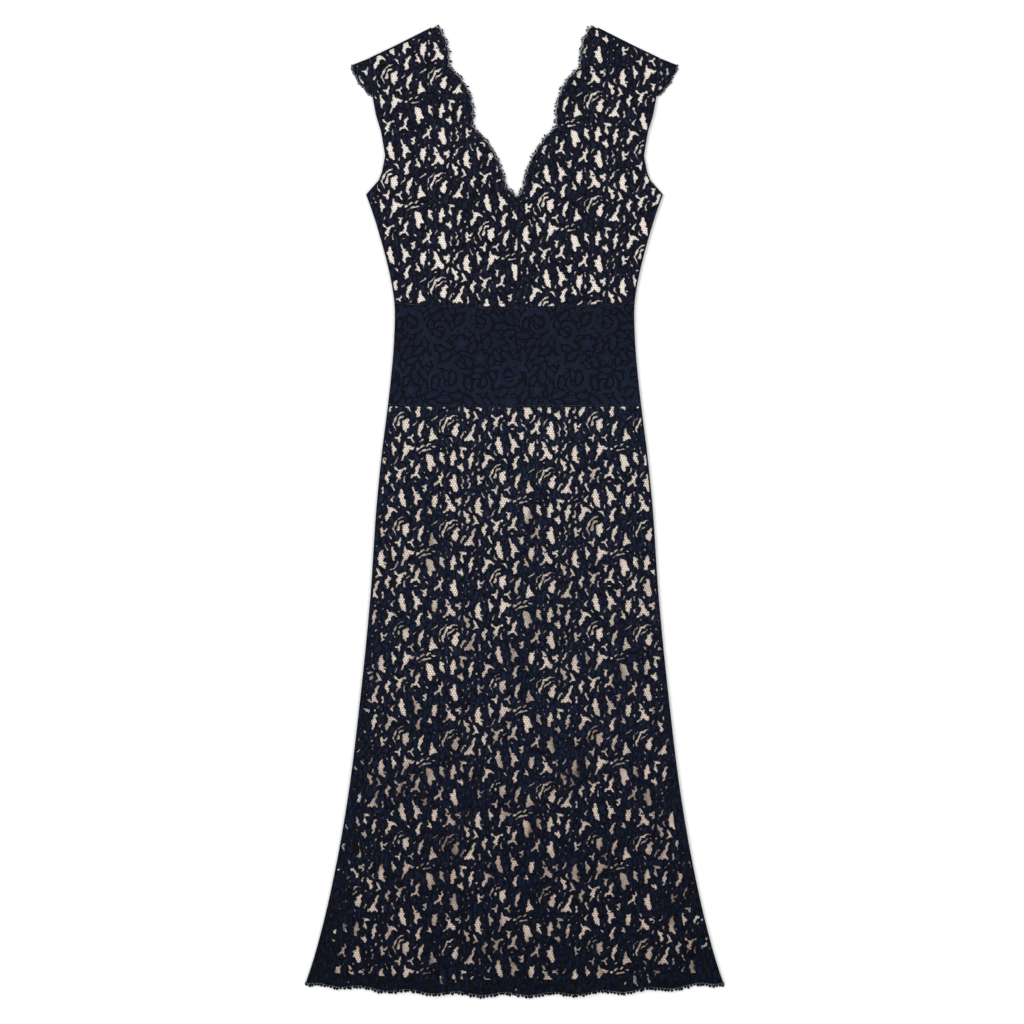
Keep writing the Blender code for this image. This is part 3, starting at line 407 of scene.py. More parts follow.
class NodeWriter:
    """Builds a procedural material one node at a time."""

    def __init__(self, name: str) -> None:
        """Start a material with a Principled shader.

        Args:
            name: The material's name.
        """
        self.material = bpy.data.materials.new(name)
        self.material.use_nodes = True
        self.nodes = self.material.node_tree.nodes
        self.links = self.material.node_tree.links
        self.shader = self.nodes["Principled BSDF"]

    def set(self, **values: float | tuple) -> None:
        """Set the shader's own sockets, named with underscores for spaces."""
        for key, value in values.items():
            self.shader.inputs[key.replace("_", " ")].default_value = value

    def place(self, scale: Triple = (1, 1, 1), turn: float = 0.0) -> Socket:
        """Read object coordinates, scaled and turned about Z.

        Args:
            scale: The scale on each axis.
            turn: The angle in degrees.

        Returns:
            The coordinates.
        """
        coordinates = self.nodes.new("ShaderNodeTexCoord")
        mapping = self.nodes.new("ShaderNodeMapping")
        mapping.inputs["Scale"].default_value = scale
        mapping.inputs["Rotation"].default_value = (0, 0, math.radians(turn))
        self.links.new(coordinates.outputs["Object"], mapping.inputs["Vector"])
        return mapping.outputs["Vector"]

    def noise(self, scale: float, detail: float = 2.0, rough: float = 0.5,
              stretch: Triple = (1, 1, 1)) -> Socket:
        """Read a noise over the piece.

        Args:
            scale: How fine it is.
            detail: How many layers it has.
            rough: How strong the finer layers are.
            stretch: The scale of the coordinates.

        Returns:
            A value from 0 to 1.
        """
        node = self.nodes.new("ShaderNodeTexNoise")
        node.inputs["Scale"].default_value = scale
        node.inputs["Detail"].default_value = detail
        node.inputs["Roughness"].default_value = rough
        self.links.new(self.place(stretch), node.inputs["Vector"])
        return node.outputs["Fac"]

    def threads(self, scale: float, turn: float, wander: float) -> Socket:
        """Read the height of parallel threads.

        Args:
            scale: How fine they are.
            turn: Their angle in degrees.
            wander: How much they bend.

        Returns:
            A value from 0 to 1.
        """
        node = self.nodes.new("ShaderNodeTexWave")
        node.inputs["Scale"].default_value = scale
        node.inputs["Distortion"].default_value = wander
        node.inputs["Detail"].default_value = 2.0
        node.inputs["Detail Scale"].default_value = 1.5
        self.links.new(self.place(turn=turn), node.inputs["Vector"])
        return node.outputs["Fac"]

    def leaves(self, width: float, wander: float = 0.016, waves: float = 60.0) -> Socket:
        """Divide the piece into bent, leaf-shaped cells.

        Args:
            width: A leaf's width.
            wander: How far the leaves bend.
            waves: How often they bend.

        Returns:
            The distance from a leaf's edge, as a share of its width.
        """
        bend = self.nodes.new("ShaderNodeTexNoise")
        bend.inputs["Scale"].default_value = waves
        self.links.new(self.place(), bend.inputs["Vector"])
        bent = self.nodes.new("ShaderNodeVectorMath")
        bent.operation = "MULTIPLY_ADD"
        self.links.new(bend.outputs["Color"], bent.inputs[0])
        bent.inputs[1].default_value = (wander, wander, 0)
        self.links.new(self.place((1.0, 0.5, 1.0), 20.0), bent.inputs[2])
        cells = self.nodes.new("ShaderNodeTexVoronoi")
        cells.voronoi_dimensions = "2D"
        cells.feature = "DISTANCE_TO_EDGE"
        cells.inputs["Scale"].default_value = 1 / width
        self.links.new(bent.outputs["Vector"], cells.inputs["Vector"])
        return cells.outputs["Distance"]

    def down(self, stops: tuple) -> Socket:
        """Change a colour down the gown.

        Args:
            stops: Rows of a place, 0 at the hem and 1 at the top, and a colour.

        Returns:
            The colour.
        """
        split = self.nodes.new("ShaderNodeSeparateXYZ")
        self.links.new(self.place(), split.inputs["Vector"])
        from_hem = self.math("ADD", split.outputs["Y"], GOWN_LENGTH / 2)
        return self.ramp(self.math("MULTIPLY", from_hem, 1 / GOWN_LENGTH), stops)

    def value(self, name: str) -> Socket:
        """Read a number that the piece's corners carry.

        Args:
            name: The number's name.

        Returns:
            The number.
        """
        node = self.nodes.new("ShaderNodeAttribute")
        node.attribute_name = name
        return node.outputs["Fac"]

    def ramp(self, source: Socket, stops: tuple) -> Socket:
        """Turn a value into a colour.

        Args:
            source: The value.
            stops: Rows of a value and a colour.

        Returns:
            The colour.
        """
        node = self.nodes.new("ShaderNodeValToRGB")
        stop_list = node.color_ramp.elements
        while len(stop_list) < len(stops):
            stop_list.new(0.5)
        for stop, (place, colour) in zip(stop_list, stops):
            stop.position = place
            stop.color = (*colour, 1.0)
        self.links.new(source, node.inputs["Fac"])
        return node.outputs["Color"]

    def feed(self, into: Socket, wanted: Socket | float | tuple) -> None:
        """Link a socket to one of a node's inputs, or set the input to a value.

        Args:
            into: The node's input.
            wanted: The socket or the value.
        """
        if isinstance(wanted, Socket):
            self.links.new(wanted, into)
        else:
            into.default_value = wanted

    def mix(self, share: Socket | float, first: Socket | tuple, second: Socket | tuple,
            blend: str = "MIX") -> Socket:
        """Mix two colours.

        Args:
            share: The second one's share.
            first: A socket or a colour.
            second: A socket or a colour.
            blend: Blender's name for the way to mix.

        Returns:
            The mixed colour.
        """
        node = self.nodes.new("ShaderNodeMix")
        node.data_type = "RGBA"
        node.blend_type = blend
        for socket, wanted in ((0, share), (6, first), (7, second)):
            self.feed(node.inputs[socket], (*wanted, 1.0) if isinstance(wanted, tuple) else wanted)
        return node.outputs[2]

    def math(self, operation: str, first: Socket | float, second: Socket | float) -> Socket:
        """Combine two values.

        Args:
            operation: Blender's name for the sum.
            first: A socket or a number.
            second: A socket or a number.

        Returns:
            The result.
        """
        node = self.nodes.new("ShaderNodeMath")
        node.operation = operation
        self.feed(node.inputs[0], first)
        self.feed(node.inputs[1], second)
        return node.outputs[0]

    def clamp(self, source: Socket) -> Socket:
        """Keep a value between 0 and 1.

        Args:
            source: The value.

        Returns:
            The kept value.
        """
        node = self.nodes.new("ShaderNodeClamp")
        self.links.new(source, node.inputs["Value"])
        return node.outputs["Result"]

    def bump(self, height: Socket, depth: float, strength: float = 1.0) -> None:
        """Give the shader a fine relief from a height value.

        Args:
            height: The height value.
            depth: The real height of a whole step.
            strength: How strong the relief is.
        """
        node = self.nodes.new("ShaderNodeBump")
        node.inputs["Distance"].default_value = depth
        node.inputs["Strength"].default_value = strength
        self.links.new(height, node.inputs["Height"])
        self.links.new(node.outputs["Normal"], self.shader.inputs["Normal"])

    def colour(self, source: Socket) -> None:
        """Give the shader its colour."""
        self.links.new(source, self.shader.inputs["Base Color"])

    def rough(self, source: Socket) -> None:
        """Give the shader its roughness."""
        self.links.new(source, self.shader.inputs["Roughness"])


# place up the gown, share of the navy's tone
NAVY_TONES = (
    (0.04, (0.44, 0.50, 0.56)), (0.25, (0.72, 0.76, 0.82)), (0.60, (0.98, 1.0, 1.0)),
    (0.70, (0.98, 0.88, 0.84)),
)


@dataclass(frozen=True)
class ClothFinish:
    """A dull corded cloth: two tones that wander, threads across it, swollen middles, a painted groove shadow
    beside raised motifs, and leaf shapes drawn with painted shade along their edges.
    """

    name: str
    dark: Triple
    light: Triple
    raised: Triple
    # the colour of the painted shadow just outside raised motifs
    groove_shadow: Triple = (0.0022, 0.0024, 0.0044)
    tones: tuple = NAVY_TONES
    patches: float = 26.0
    specks: float = 900.0
    speck_share: float = 0.35
    thread: float = 0.0009
    thread_angles: Pair = (18.0, 104.0)
    thread_depth: float = 0.0002
    leaf_width: float = 0.0
    # place from a leaf's edge to its middle, share of the tone: the lace's leaf pattern, drawn as painted
    # shade in the grooves along the leaves' edges
    leaf_pattern_and_shade: tuple = ((0.02, (0.12, 0.12, 0.14)), (0.16, (0.52, 0.52, 0.52)), (0.42, (1.0, 1.0, 1.0)))
    roughness: Pair = (0.68, 0.9)
    sheen: float = 0.04

    def material(self) -> Material:
        """Build the material, which reads the corner values "swell" and "groove".

        Returns:
            The new material.
        """
        writer = NodeWriter(self.name)
        writer.set(Metallic=0.0, Sheen_Weight=self.sheen, Sheen_Roughness=0.45,
                   Sheen_Tint=(0.35, 0.42, 0.7, 1.0), Specular_IOR_Level=0.05)
        patch = writer.noise(self.patches, 4.0, 0.6)
        ground = writer.ramp(patch, ((0.32, self.dark), (0.68, self.light)))
        speck = writer.noise(self.specks, 2.0, 0.7)
        specks = writer.ramp(speck, ((0.3, self.dark), (0.75, self.light)))
        ground = writer.mix(self.speck_share, ground, specks)
        toned = writer.mix(writer.value("swell"), ground, self.raised)
        # painted shadow in the groove just outside the raised motifs
        toned = writer.mix(writer.value("groove_shadow"), toned, self.groove_shadow)
        # the lace's leaf pattern, with painted shade darkening each leaf's edges as grooves between raised
        # leaves
        if self.leaf_width:
            leaf = writer.ramp(writer.leaves(self.leaf_width), self.leaf_pattern_and_shade)
            toned = writer.mix(1.0, toned, leaf, "MULTIPLY")
        writer.colour(writer.mix(1.0, toned, writer.down(self.tones), "MULTIPLY"))
        least, most = self.roughness
        writer.rough(writer.math("ADD", writer.math("MULTIPLY", speck, most - least), least))
        across, along = (
            writer.threads(1 / self.thread / WAVE_TURN, angle, 1.2) for angle in self.thread_angles)
        writer.bump(writer.math("MAXIMUM", across, along), self.thread_depth, 0.8)
        return writer.material


@dataclass(frozen=True)
class SatinFinish:
    """A soft nude satin with a faint grain, browner down the skirt, with painted shade where it lies in a
    fold's valley.
    """

    name: str
    light: Triple
    # the colour of the painted shade in the folds' valleys
    shade: Triple
    grain_dark: float = 0.93
    # how much of a patch stays plain, how sharply it turns to painted shade
    patchy: Pair = (0.42, 3.8)
    # place up the gown, share of the light tone
    tones: tuple = (
        (0.10, (0.76, 0.67, 0.62)), (0.20, (0.80, 0.71, 0.66)), (0.37, (0.92, 0.86, 0.81)),
        (0.61, (0.96, 0.92, 0.88)), (0.70, (1.0, 0.99, 0.98)),
    )

    def material(self) -> Material:
        """Build the material, which reads the corner value "valley", the depth of its painted shade.

        Returns:
            The new material.
        """
        writer = NodeWriter(self.name)
        writer.set(Metallic=0.0, Sheen_Weight=0.15, Sheen_Roughness=0.4, Specular_IOR_Level=0.35,
                   Sheen_Tint=(1.0, 0.9, 0.8, 1.0))
        grain = writer.noise(500.0, 3.0, 0.6, (1.0, 0.12, 1.0))
        darker = tuple(self.grain_dark * part for part in self.light)
        tone = writer.ramp(grain, ((0.25, darker), (0.75, self.light)))
        tone = writer.mix(1.0, tone, writer.down(self.tones), "MULTIPLY")
        # painted shade: the valley's depth, made patchy by a noise, mixes in the shade colour
        patches = writer.noise(34.0, 3.0, 0.55, (1.0, 0.45, 1.0))
        uneven = writer.math("MULTIPLY", writer.math("SUBTRACT", patches, self.patchy[0]), self.patchy[1])
        depth = writer.math("MULTIPLY", writer.value("valley"), uneven)
        writer.colour(writer.mix(writer.clamp(depth), tone, self.shade))
        writer.rough(writer.math("ADD", writer.math("MULTIPLY", grain, 0.15), 0.42))
        writer.bump(grain, 0.00006, 0.6)
        return writer.material


@dataclass(frozen=True)
class ThreadFinish:
    """A thin twisted thread, of the net, the cords or the stitching."""

    name: str
    dark: Triple
    light: Triple
    roughness: float = 0.6
    sheen: float = 0.05
    twist: float = 260.0
    tones: tuple = NAVY_TONES

    def material(self) -> Material:
        """Build the material.

        Returns:
            The new material.
        """
        writer = NodeWriter(self.name)
        writer.set(Metallic=0.0, Roughness=self.roughness, Sheen_Weight=self.sheen, Sheen_Roughness=0.4,
                   Sheen_Tint=(0.5, 0.6, 0.9, 1.0), Specular_IOR_Level=0.10)
        tone = writer.noise(60.0, 3.0, 0.6)
        toned = writer.ramp(tone, ((0.3, self.dark), (0.7, self.light)))
        writer.colour(writer.mix(1.0, toned, writer.down(self.tones), "MULTIPLY"))
        writer.bump(writer.threads(self.twist, 33.0, 2.0), 0.00015, 0.7)
        return writer.material


@dataclass(frozen=True)
class FloorFinish:
    """A plain pale floor."""

    name: str
    colour: Triple

    def material(self) -> Material:
        """Build the material.

        Returns:
            The new material.
        """
        writer = NodeWriter(self.name)
        writer.set(Base_Color=(*self.colour, 1.0), Roughness=0.9, Specular_IOR_Level=0.1)
        return writer.material


@dataclass(frozen=True)
class Finishes:
    """All the finishes of the gown."""

    lace: ClothFinish = ClothFinish(
        "navy lace", (0.0066, 0.0084, 0.0168), (0.0132, 0.0174, 0.0370), (0.0132, 0.0178, 0.0396),
        leaf_width=0.0066)
    back_lace: ClothFinish = ClothFinish(
        "navy lace of the back", (0.0060, 0.0074, 0.0144), (0.0112, 0.0146, 0.0300), (0.0118, 0.0160, 0.0340),
        leaf_width=0.0066)
    band_ground: ClothFinish = ClothFinish(
        "waistband cloth", (0.0042, 0.0048, 0.0094), (0.0058, 0.0066, 0.0130), (0.0054, 0.0088, 0.0225),
        thread=0.0006)
    band_cord: ThreadFinish = ThreadFinish(
        "waistband cord", (0.0105, 0.0172, 0.0390), (0.0158, 0.0250, 0.0550))
    cord: ThreadFinish = ThreadFinish("navy cord", (0.0050, 0.0070, 0.0150), (0.0092, 0.0132, 0.0275))
    net: ThreadFinish = ThreadFinish("fine net", (0.034, 0.023, 0.019), (0.066, 0.046, 0.039), sheen=0.02)
    lash: ThreadFinish = ThreadFinish("lashed edge", (0.0036, 0.0046, 0.0088), (0.0066, 0.0086, 0.0165))
    # the second colour is the painted shade of the lining's fold valleys
    satin: SatinFinish = SatinFinish("nude satin", (0.99, 0.90, 0.82), (0.20, 0.135, 0.10))
    floor: FloorFinish = FloorFinish("pale floor", (0.92, 0.92, 0.92))


# ---- The gown's cut ----------------------------------------------------------------------------------------
@dataclass(frozen=True)
class GownCut:
    """The sizes that the gown was cut to, and the heights that its layers lie at."""

    length: float = 1.5035
    centre_seam_x: float = 0.007
    waist_top: Pair = (0.4278, 0.0085)
    waist_bottom: Pair = (0.5848, 0.0025)
    hem_corner: float = 1.485
    hem_sag: float = 0.0186
    scallop_pitch: float = 0.0744
    scallop_depth: float = 0.0025
    scallop_start: float = 0.0225
    lining_hem: Pair = (1.462, 0.014)
    lining_run: float = 0.85
    lining_low: float = 0.0018
    lace_low: float = 0.0036
    fall_start: float = 0.019
    fall_width: float = 0.022
    fold_fade: float = 0.20
    fold_edge: float = 0.045
    crease_fades: Pair = (0.08, 0.12)
    crease_share: float = 0.8
    # distance to the cloth on either side of a valley, depth that counts as a full valley
    wide_valley: Pair = (0.035, 0.0030)
    near_valley: Pair = (0.012, 0.0011)
    # drop, half width
    side_seam: tuple = (
        (0.2600, 0.2302), (0.2744, 0.2248), (0.3364, 0.2054), (0.3860, 0.1930), (0.4230, 0.1868),
        (0.4850, 0.1868), (0.5350, 0.1907), (0.5848, 0.1962), (0.6710, 0.2069), (0.7330, 0.2131),
        (0.8880, 0.2240), (1.0430, 0.2395), (1.1920, 0.2581), (1.2910, 0.2751), (1.3900, 0.2968),
        (1.4520, 0.3139), (1.4850, 0.3251),
    )
    # drop, half width
    armhole: tuple = (
        (0.0480, 0.2244), (0.0820, 0.2220), (0.1131, 0.2193), (0.1380, 0.2147), (0.1627, 0.2069),
        (0.2000, 0.2007), (0.2247, 0.2054), (0.2371, 0.2100), (0.2495, 0.2209), (0.2600, 0.2302),
    )
    # drop, distance from the centre, bulge of the lobe below
    neck_cusps: tuple = (
        (0.0000, 0.1225, 0.0070), (0.0636, 0.1062, 0.0155), (0.1550, 0.0700, 0.0110),
        (0.2520, 0.0165, 0.0025),
    )
    neck_tip: float = 0.276
    # drop, distance from the centre
    back_neck: tuple = ((0.0, 0.1290), (0.0636, 0.1130), (0.1550, 0.0780), (0.2520, 0.0250), (0.2920, 0.0))
    # drop, inset on the left, inset on the right
    lining_inset: tuple = (
        (0.5848, 0.0015, 0.0015), (0.8880, 0.0040, 0.0040), (0.9500, 0.0080, 0.0060),
        (1.0590, 0.0200, 0.0100), (1.1980, 0.0270, 0.0160), (1.2910, 0.0330, 0.0190),
        (1.4500, 0.0380, 0.0240),
    )
    # waist place, hem place, half width at the waist, spread at the hem, rise, drop where it starts
    folds: tuple = (
        (-0.82, -0.78, 0.032, 1.6, 0.0026, 0.62), (-0.38, -0.44, 0.040, 1.6, 0.0046, 0.60),
        (-0.03, -0.14, 0.031, 1.5, 0.0032, 0.64), (0.41, 0.30, 0.042, 1.6, 0.0050, 0.60),
        (0.80, 0.66, 0.031, 1.6, 0.0034, 0.62),
    )
    # x, drop, half width across, half width down, rise
    bust: tuple = ((-0.092, 0.318, 0.060, 0.075, 0.0030), (0.098, 0.322, 0.060, 0.075, 0.0030))
    # x at the waist, x at the hem, half width, spread at the hem, depth, drops where it starts and ends
    creases: tuple = (
        (-0.118, -0.150, 0.006, 2.4, 0.0011, 0.60, 1.35), (0.028, 0.012, 0.007, 2.2, 0.0012, 0.62, 1.40),
        (0.122, 0.110, 0.006, 2.4, 0.0010, 0.60, 1.25), (-0.060, -0.074, 0.005, 2.2, 0.0006, 0.68, 1.10),
        (0.158, 0.196, 0.005, 2.0, 0.0007, 0.75, 1.30), (-0.168, -0.215, 0.005, 2.0, 0.0007, 0.90, 1.42),
        (0.070, 0.070, 0.004, 2.2, 0.0005, 0.95, 1.44),
    )

    def y(self, drop: float | Array) -> float | Array:
        """Turn a drop from the shoulder tips into a Y coordinate."""
        return self.length / 2 - drop

    def drop(self, y: Array) -> Array:
        """Turn a Y coordinate into a drop from the shoulder tips."""
        return self.length / 2 - np.asarray(y)

    def half(self, drop: float | Array) -> Array:
        """Return the half width at a drop, along a smooth curve through the side seam's rows.

        Args:
            drop: Drops from the shoulder tips.

        Returns:
            The half widths.
        """
        knots, values = column(self.side_seam, 0), column(self.side_seam, 1)
        slopes = np.gradient(values, knots)
        drop = np.clip(drop, knots[0], knots[-1])
        row = np.clip(np.searchsorted(knots, drop) - 1, 0, len(knots) - 2)
        span = knots[row + 1] - knots[row]
        t = (drop - knots[row]) / span
        start = (1 + 2 * t) * (1 - t) ** 2 * values[row] + t * (1 - t) ** 2 * span * slopes[row]
        end = t * t * (3 - 2 * t) * values[row + 1] + t * t * (t - 1) * span * slopes[row + 1]
        return start + end

    def waist(self, x: Array, seam: Pair) -> Array:
        """Return the drop of a waist seam, which sags a little at the centre."""
        return seam[0] + seam[1] * (1 - (np.asarray(x) / self.half(seam[0])) ** 2)

    def hem(self, x: Array) -> Array:
        """Return the drop of the scalloped lace hem.

        Args:
            x: Distances from the middle.

        Returns:
            The drops.
        """
        x, half = np.asarray(x), self.side_seam[-1][1]
        wave = np.cos(2 * math.pi * (x - self.scallop_start) / self.scallop_pitch)
        fade = smooth_step((half - np.abs(x)) / self.scallop_pitch * 2)
        return self.hem_corner + self.hem_sag * (1 - (x / half) ** 2) + self.scallop_depth * (wave - 1) * fade

    def lining_half(self, drop: Array, side: Side) -> Array:
        """Return the skirt lining's half width on one side.

        Args:
            drop: Drops from the shoulder tips.
            side: The side.

        Returns:
            The half widths.
        """
        inset_column = 1 if side is Side.LEFT else 2
        rows = self.lining_inset
        return self.half(drop) - np.interp(drop, column(rows, 0), column(rows, inset_column))

    def lining_hem_at(self, x: Array) -> Array:
        """Return the drop of the skirt lining's hem."""
        return self.lining_hem[0] + self.lining_hem[1] * (1 - (np.asarray(x) / self.side_seam[-1][1]) ** 2)

    def past_lining(self, x: Array, y: Array) -> Array:
        """Return how far a place on the skirt lies outside the lining, 0 on it.

        Args:
            x, y: The places.

        Returns:
            The distances.
        """
        drop = self.drop(y)
        edge = np.where(x < 0, self.lining_half(drop, Side.LEFT), self.lining_half(drop, Side.RIGHT))
        return np.maximum(np.maximum(np.abs(x) - edge, drop - self.lining_hem_at(x)), 0.0)

    def lift(self, x: Array, y: Array) -> Array:
        """Return how far the folds and the bust's fullness lift the front, with the creases between them.

        Args:
            x, y: The places.

        Returns:
            The rise of the cloth.
        """
        drop = self.drop(y)
        half = self.half(drop)
        seam_drop, hem_drop = self.waist_bottom[0], self.hem_corner
        run = np.clip((drop - seam_drop) / (hem_drop - seam_drop), 0.0, 1.0)
        lift = np.zeros(np.broadcast(x, drop).shape)
        for waist_place, hem_place, half_width, spread, rise, start in self.folds:
            middle = (waist_place + (hem_place - waist_place) * run) * half
            width = half_width * (1 + (spread - 1) * run)
            ridge = np.exp(-(((x - middle) / width) ** 2))
            lift += rise * ridge * smooth_step((drop - start) / self.fold_fade)
        for waist_x, hem_x, half_width, spread, depth, start, end in self.creases:
            middle = waist_x + (hem_x - waist_x) * run
            width = half_width * (1 + (spread - 1) * run)
            shown = smooth_step((drop - start) / self.crease_fades[0])
            shown = shown * smooth_step((end - drop) / self.crease_fades[1])
            deepest = np.minimum(depth, lift * self.crease_share)
            lift -= deepest * np.exp(-(((x - middle) / width) ** 2)) * shown
        lift *= smooth_step((half - np.abs(x)) / self.fold_edge)
        for middle, middle_drop, across, down, rise in self.bust:
            away = ((x - middle) / across) ** 2 + ((drop - middle_drop) / down) ** 2
            lift += rise * smooth_step(1 - away / 2) * (drop < self.waist_top[0])
        return lift

    def valley(self, x: Array, y: Array) -> Array:
        """Return how deep in a fold's valley a place of the skirt lies, from 0 to 1, which sets the lining's
        painted shade.

        Args:
            x, y: The places.

        Returns:
            A share for each place.
        """
        drop = self.drop(y)
        depth = 0.0
        for away, full in (self.wide_valley, self.near_valley):
            depth += (0.5 * (self.lift(x - away, y) + self.lift(x + away, y)) - self.lift(x, y)) / full
        inner = smooth_step((self.half(drop) - np.abs(x) - 0.01) / 0.05)
        return np.clip(depth, 0.0, 1.0) * inner * (drop > self.waist_bottom[0])

    def lining_height(self, x: Array, y: Array) -> Array:
        """Return the height of the linings' underside."""
        return self.lining_low + self.lift(x, y)

    def bodice_lace_height(self, x: Array, y: Array) -> Array:
        """Return the height of the bodice lace's underside."""
        return self.lace_low + self.lift(x, y)

    def skirt_lace_height(self, x: Array, y: Array) -> Array:
        """Return the height of the skirt lace's underside, which sinks to the back past the lining."""
        sunk = smooth_step((self.past_lining(x, y) - self.fall_start) / self.fall_width)
        return self.lace_low + self.lift(x, y) - (self.lace_low - self.lining_low) * sunk

    def side_line(self, start: float, end: float, side: Side, pitch: float) -> Points:
        """Return points down a side seam."""
        drops = np.linspace(start, end, max(2, round((end - start) / pitch) + 1))
        return np.stack([side.value * self.half(drops), self.y(drops)], 1)

    def seam_line(self, start: float, end: float, drop_of: Callable, pitch: float) -> Points:
        """Return points along a seam or hem whose drop is a function of x."""
        across = np.linspace(start, end, max(2, round(abs(end - start) / pitch) + 1))
        return np.stack([across, self.y(drop_of(across))], 1)

    def lobe(self, start: Points, end: Points, bulge: float, steps: int) -> Points:
        """Return points of an arc of a circle between two cusps, without the last one.

        Args:
            start: The first cusp.
            end: The second cusp.
            bulge: The arc's height over its chord.
            steps: How many points it has.

        Returns:
            The points.
        """
        chord = end - start
        length = float(np.hypot(*chord))
        radius = (length**2 / 4 + bulge**2) / (2 * bulge)
        half_angle = math.asin(length / 2 / radius)
        along, out = chord / length, np.array([-chord[1], chord[0]]) / length
        angles = np.linspace(-half_angle, half_angle, steps + 1)[:-1]
        middle = (start + end) / 2 + out * (bulge - radius)
        return middle + radius * (np.sin(angles)[:, None] * along + np.cos(angles)[:, None] * out)

    def front_neck(self, side: Side, steps: int) -> Points:
        """Return one side's edge of the front neck, from the shoulder down to the V's tip.

        Args:
            side: The side.
            steps: How many points each lobe has.

        Returns:
            The edge's points.
        """
        cusps = [np.array([-distance, self.y(drop)]) for drop, distance, _ in self.neck_cusps]
        cusps.append(np.array([-side.value * self.centre_seam_x, self.y(self.neck_tip)]))
        bulges = column(self.neck_cusps, 2)
        lobes = [self.lobe(cusps[k], cusps[k + 1], bulges[k], steps) for k in range(len(bulges))]
        return np.concatenate([*lobes, [cusps[-1]]]) * (-side.value, 1)

    def bodice_outline(self, side: Side, neck: Points, pitch: float) -> Points:
        """Return the outline of one bodice half round a given neck edge.

        Args:
            side: The side.
            neck: The neck's edge, from the shoulder down.
            pitch: The distance between points.

        Returns:
            The anticlockwise outline.
        """
        waist_half = side.value * float(self.half(self.waist_top[0]))
        waist = self.seam_line(neck[-1, 0], waist_half, lambda x: self.waist(x, self.waist_top), pitch)
        seam = self.side_line(self.side_seam[0][0], self.waist_top[0], side, pitch)[::-1]
        drops, halves = column(self.armhole[::-1], 0), column(self.armhole[::-1], 1)
        armhole = evenly(np.stack([side.value * halves, self.y(drops)], 1), pitch)
        return facing_round(np.concatenate([neck, waist, seam[1:], armhole[1:]]))

    def skirt_outline(self, pitch: float, hem_rise: float = 0.0) -> Points:
        """Return the outline of the lace skirt.

        Args:
            pitch: The distance between points.
            hem_rise: How far above its hem the outline ends.

        Returns:
            The anticlockwise outline.
        """
        top, hem_half = float(self.half(self.waist_bottom[0])), self.side_seam[-1][1]
        hem = self.seam_line(-hem_half, hem_half, lambda x: self.hem(x) - hem_rise, pitch / 2)
        right = self.side_line(self.waist_bottom[0], self.hem_corner, Side.RIGHT, pitch)[::-1]
        left = self.side_line(self.waist_bottom[0], self.hem_corner, Side.LEFT, pitch)
        waist = self.seam_line(top, -top, lambda x: self.waist(x, self.waist_bottom), pitch)
        return np.concatenate([hem, right[1:], waist[1:], left[1:-1]])

    def lining_outline(self, pitch: float) -> Points:
        """Return the outline of the skirt lining.

        Args:
            pitch: The distance between points.

        Returns:
            The anticlockwise outline.
        """
        drops = np.linspace(self.waist_bottom[0], self.lining_hem[0], round(self.lining_run / pitch))
        right = np.stack([self.lining_half(drops, Side.RIGHT), self.y(drops)], 1)
        left = np.stack([-self.lining_half(drops, Side.LEFT), self.y(drops)], 1)
        hem = self.seam_line(left[-1, 0], right[-1, 0], self.lining_hem_at, pitch)
        waist = self.seam_line(right[0, 0], left[0, 0], lambda x: self.waist(x, self.waist_bottom), pitch)
        return np.concatenate([hem, right[-2:0:-1], waist, left[1:-1]])

    def band_outline(self, pitch: float) -> Points:
        """Return the outline of the waistband.

        Args:
            pitch: The distance between points.

        Returns:
            The anticlockwise outline.
        """
        (top_drop, _), (bottom_drop, _) = self.waist_top, self.waist_bottom
        top_half, bottom_half = float(self.half(top_drop)), float(self.half(bottom_drop))
        bottom = self.seam_line(-bottom_half, bottom_half, lambda x: self.waist(x, self.waist_bottom), pitch)
        top = self.seam_line(top_half, -top_half, lambda x: self.waist(x, self.waist_top), pitch)
        right = self.side_line(top_drop, bottom_drop, Side.RIGHT, pitch)[::-1]
        left = self.side_line(top_drop, bottom_drop, Side.LEFT, pitch)
        return np.concatenate([bottom, right[1:], top[1:], left[1:-1]])


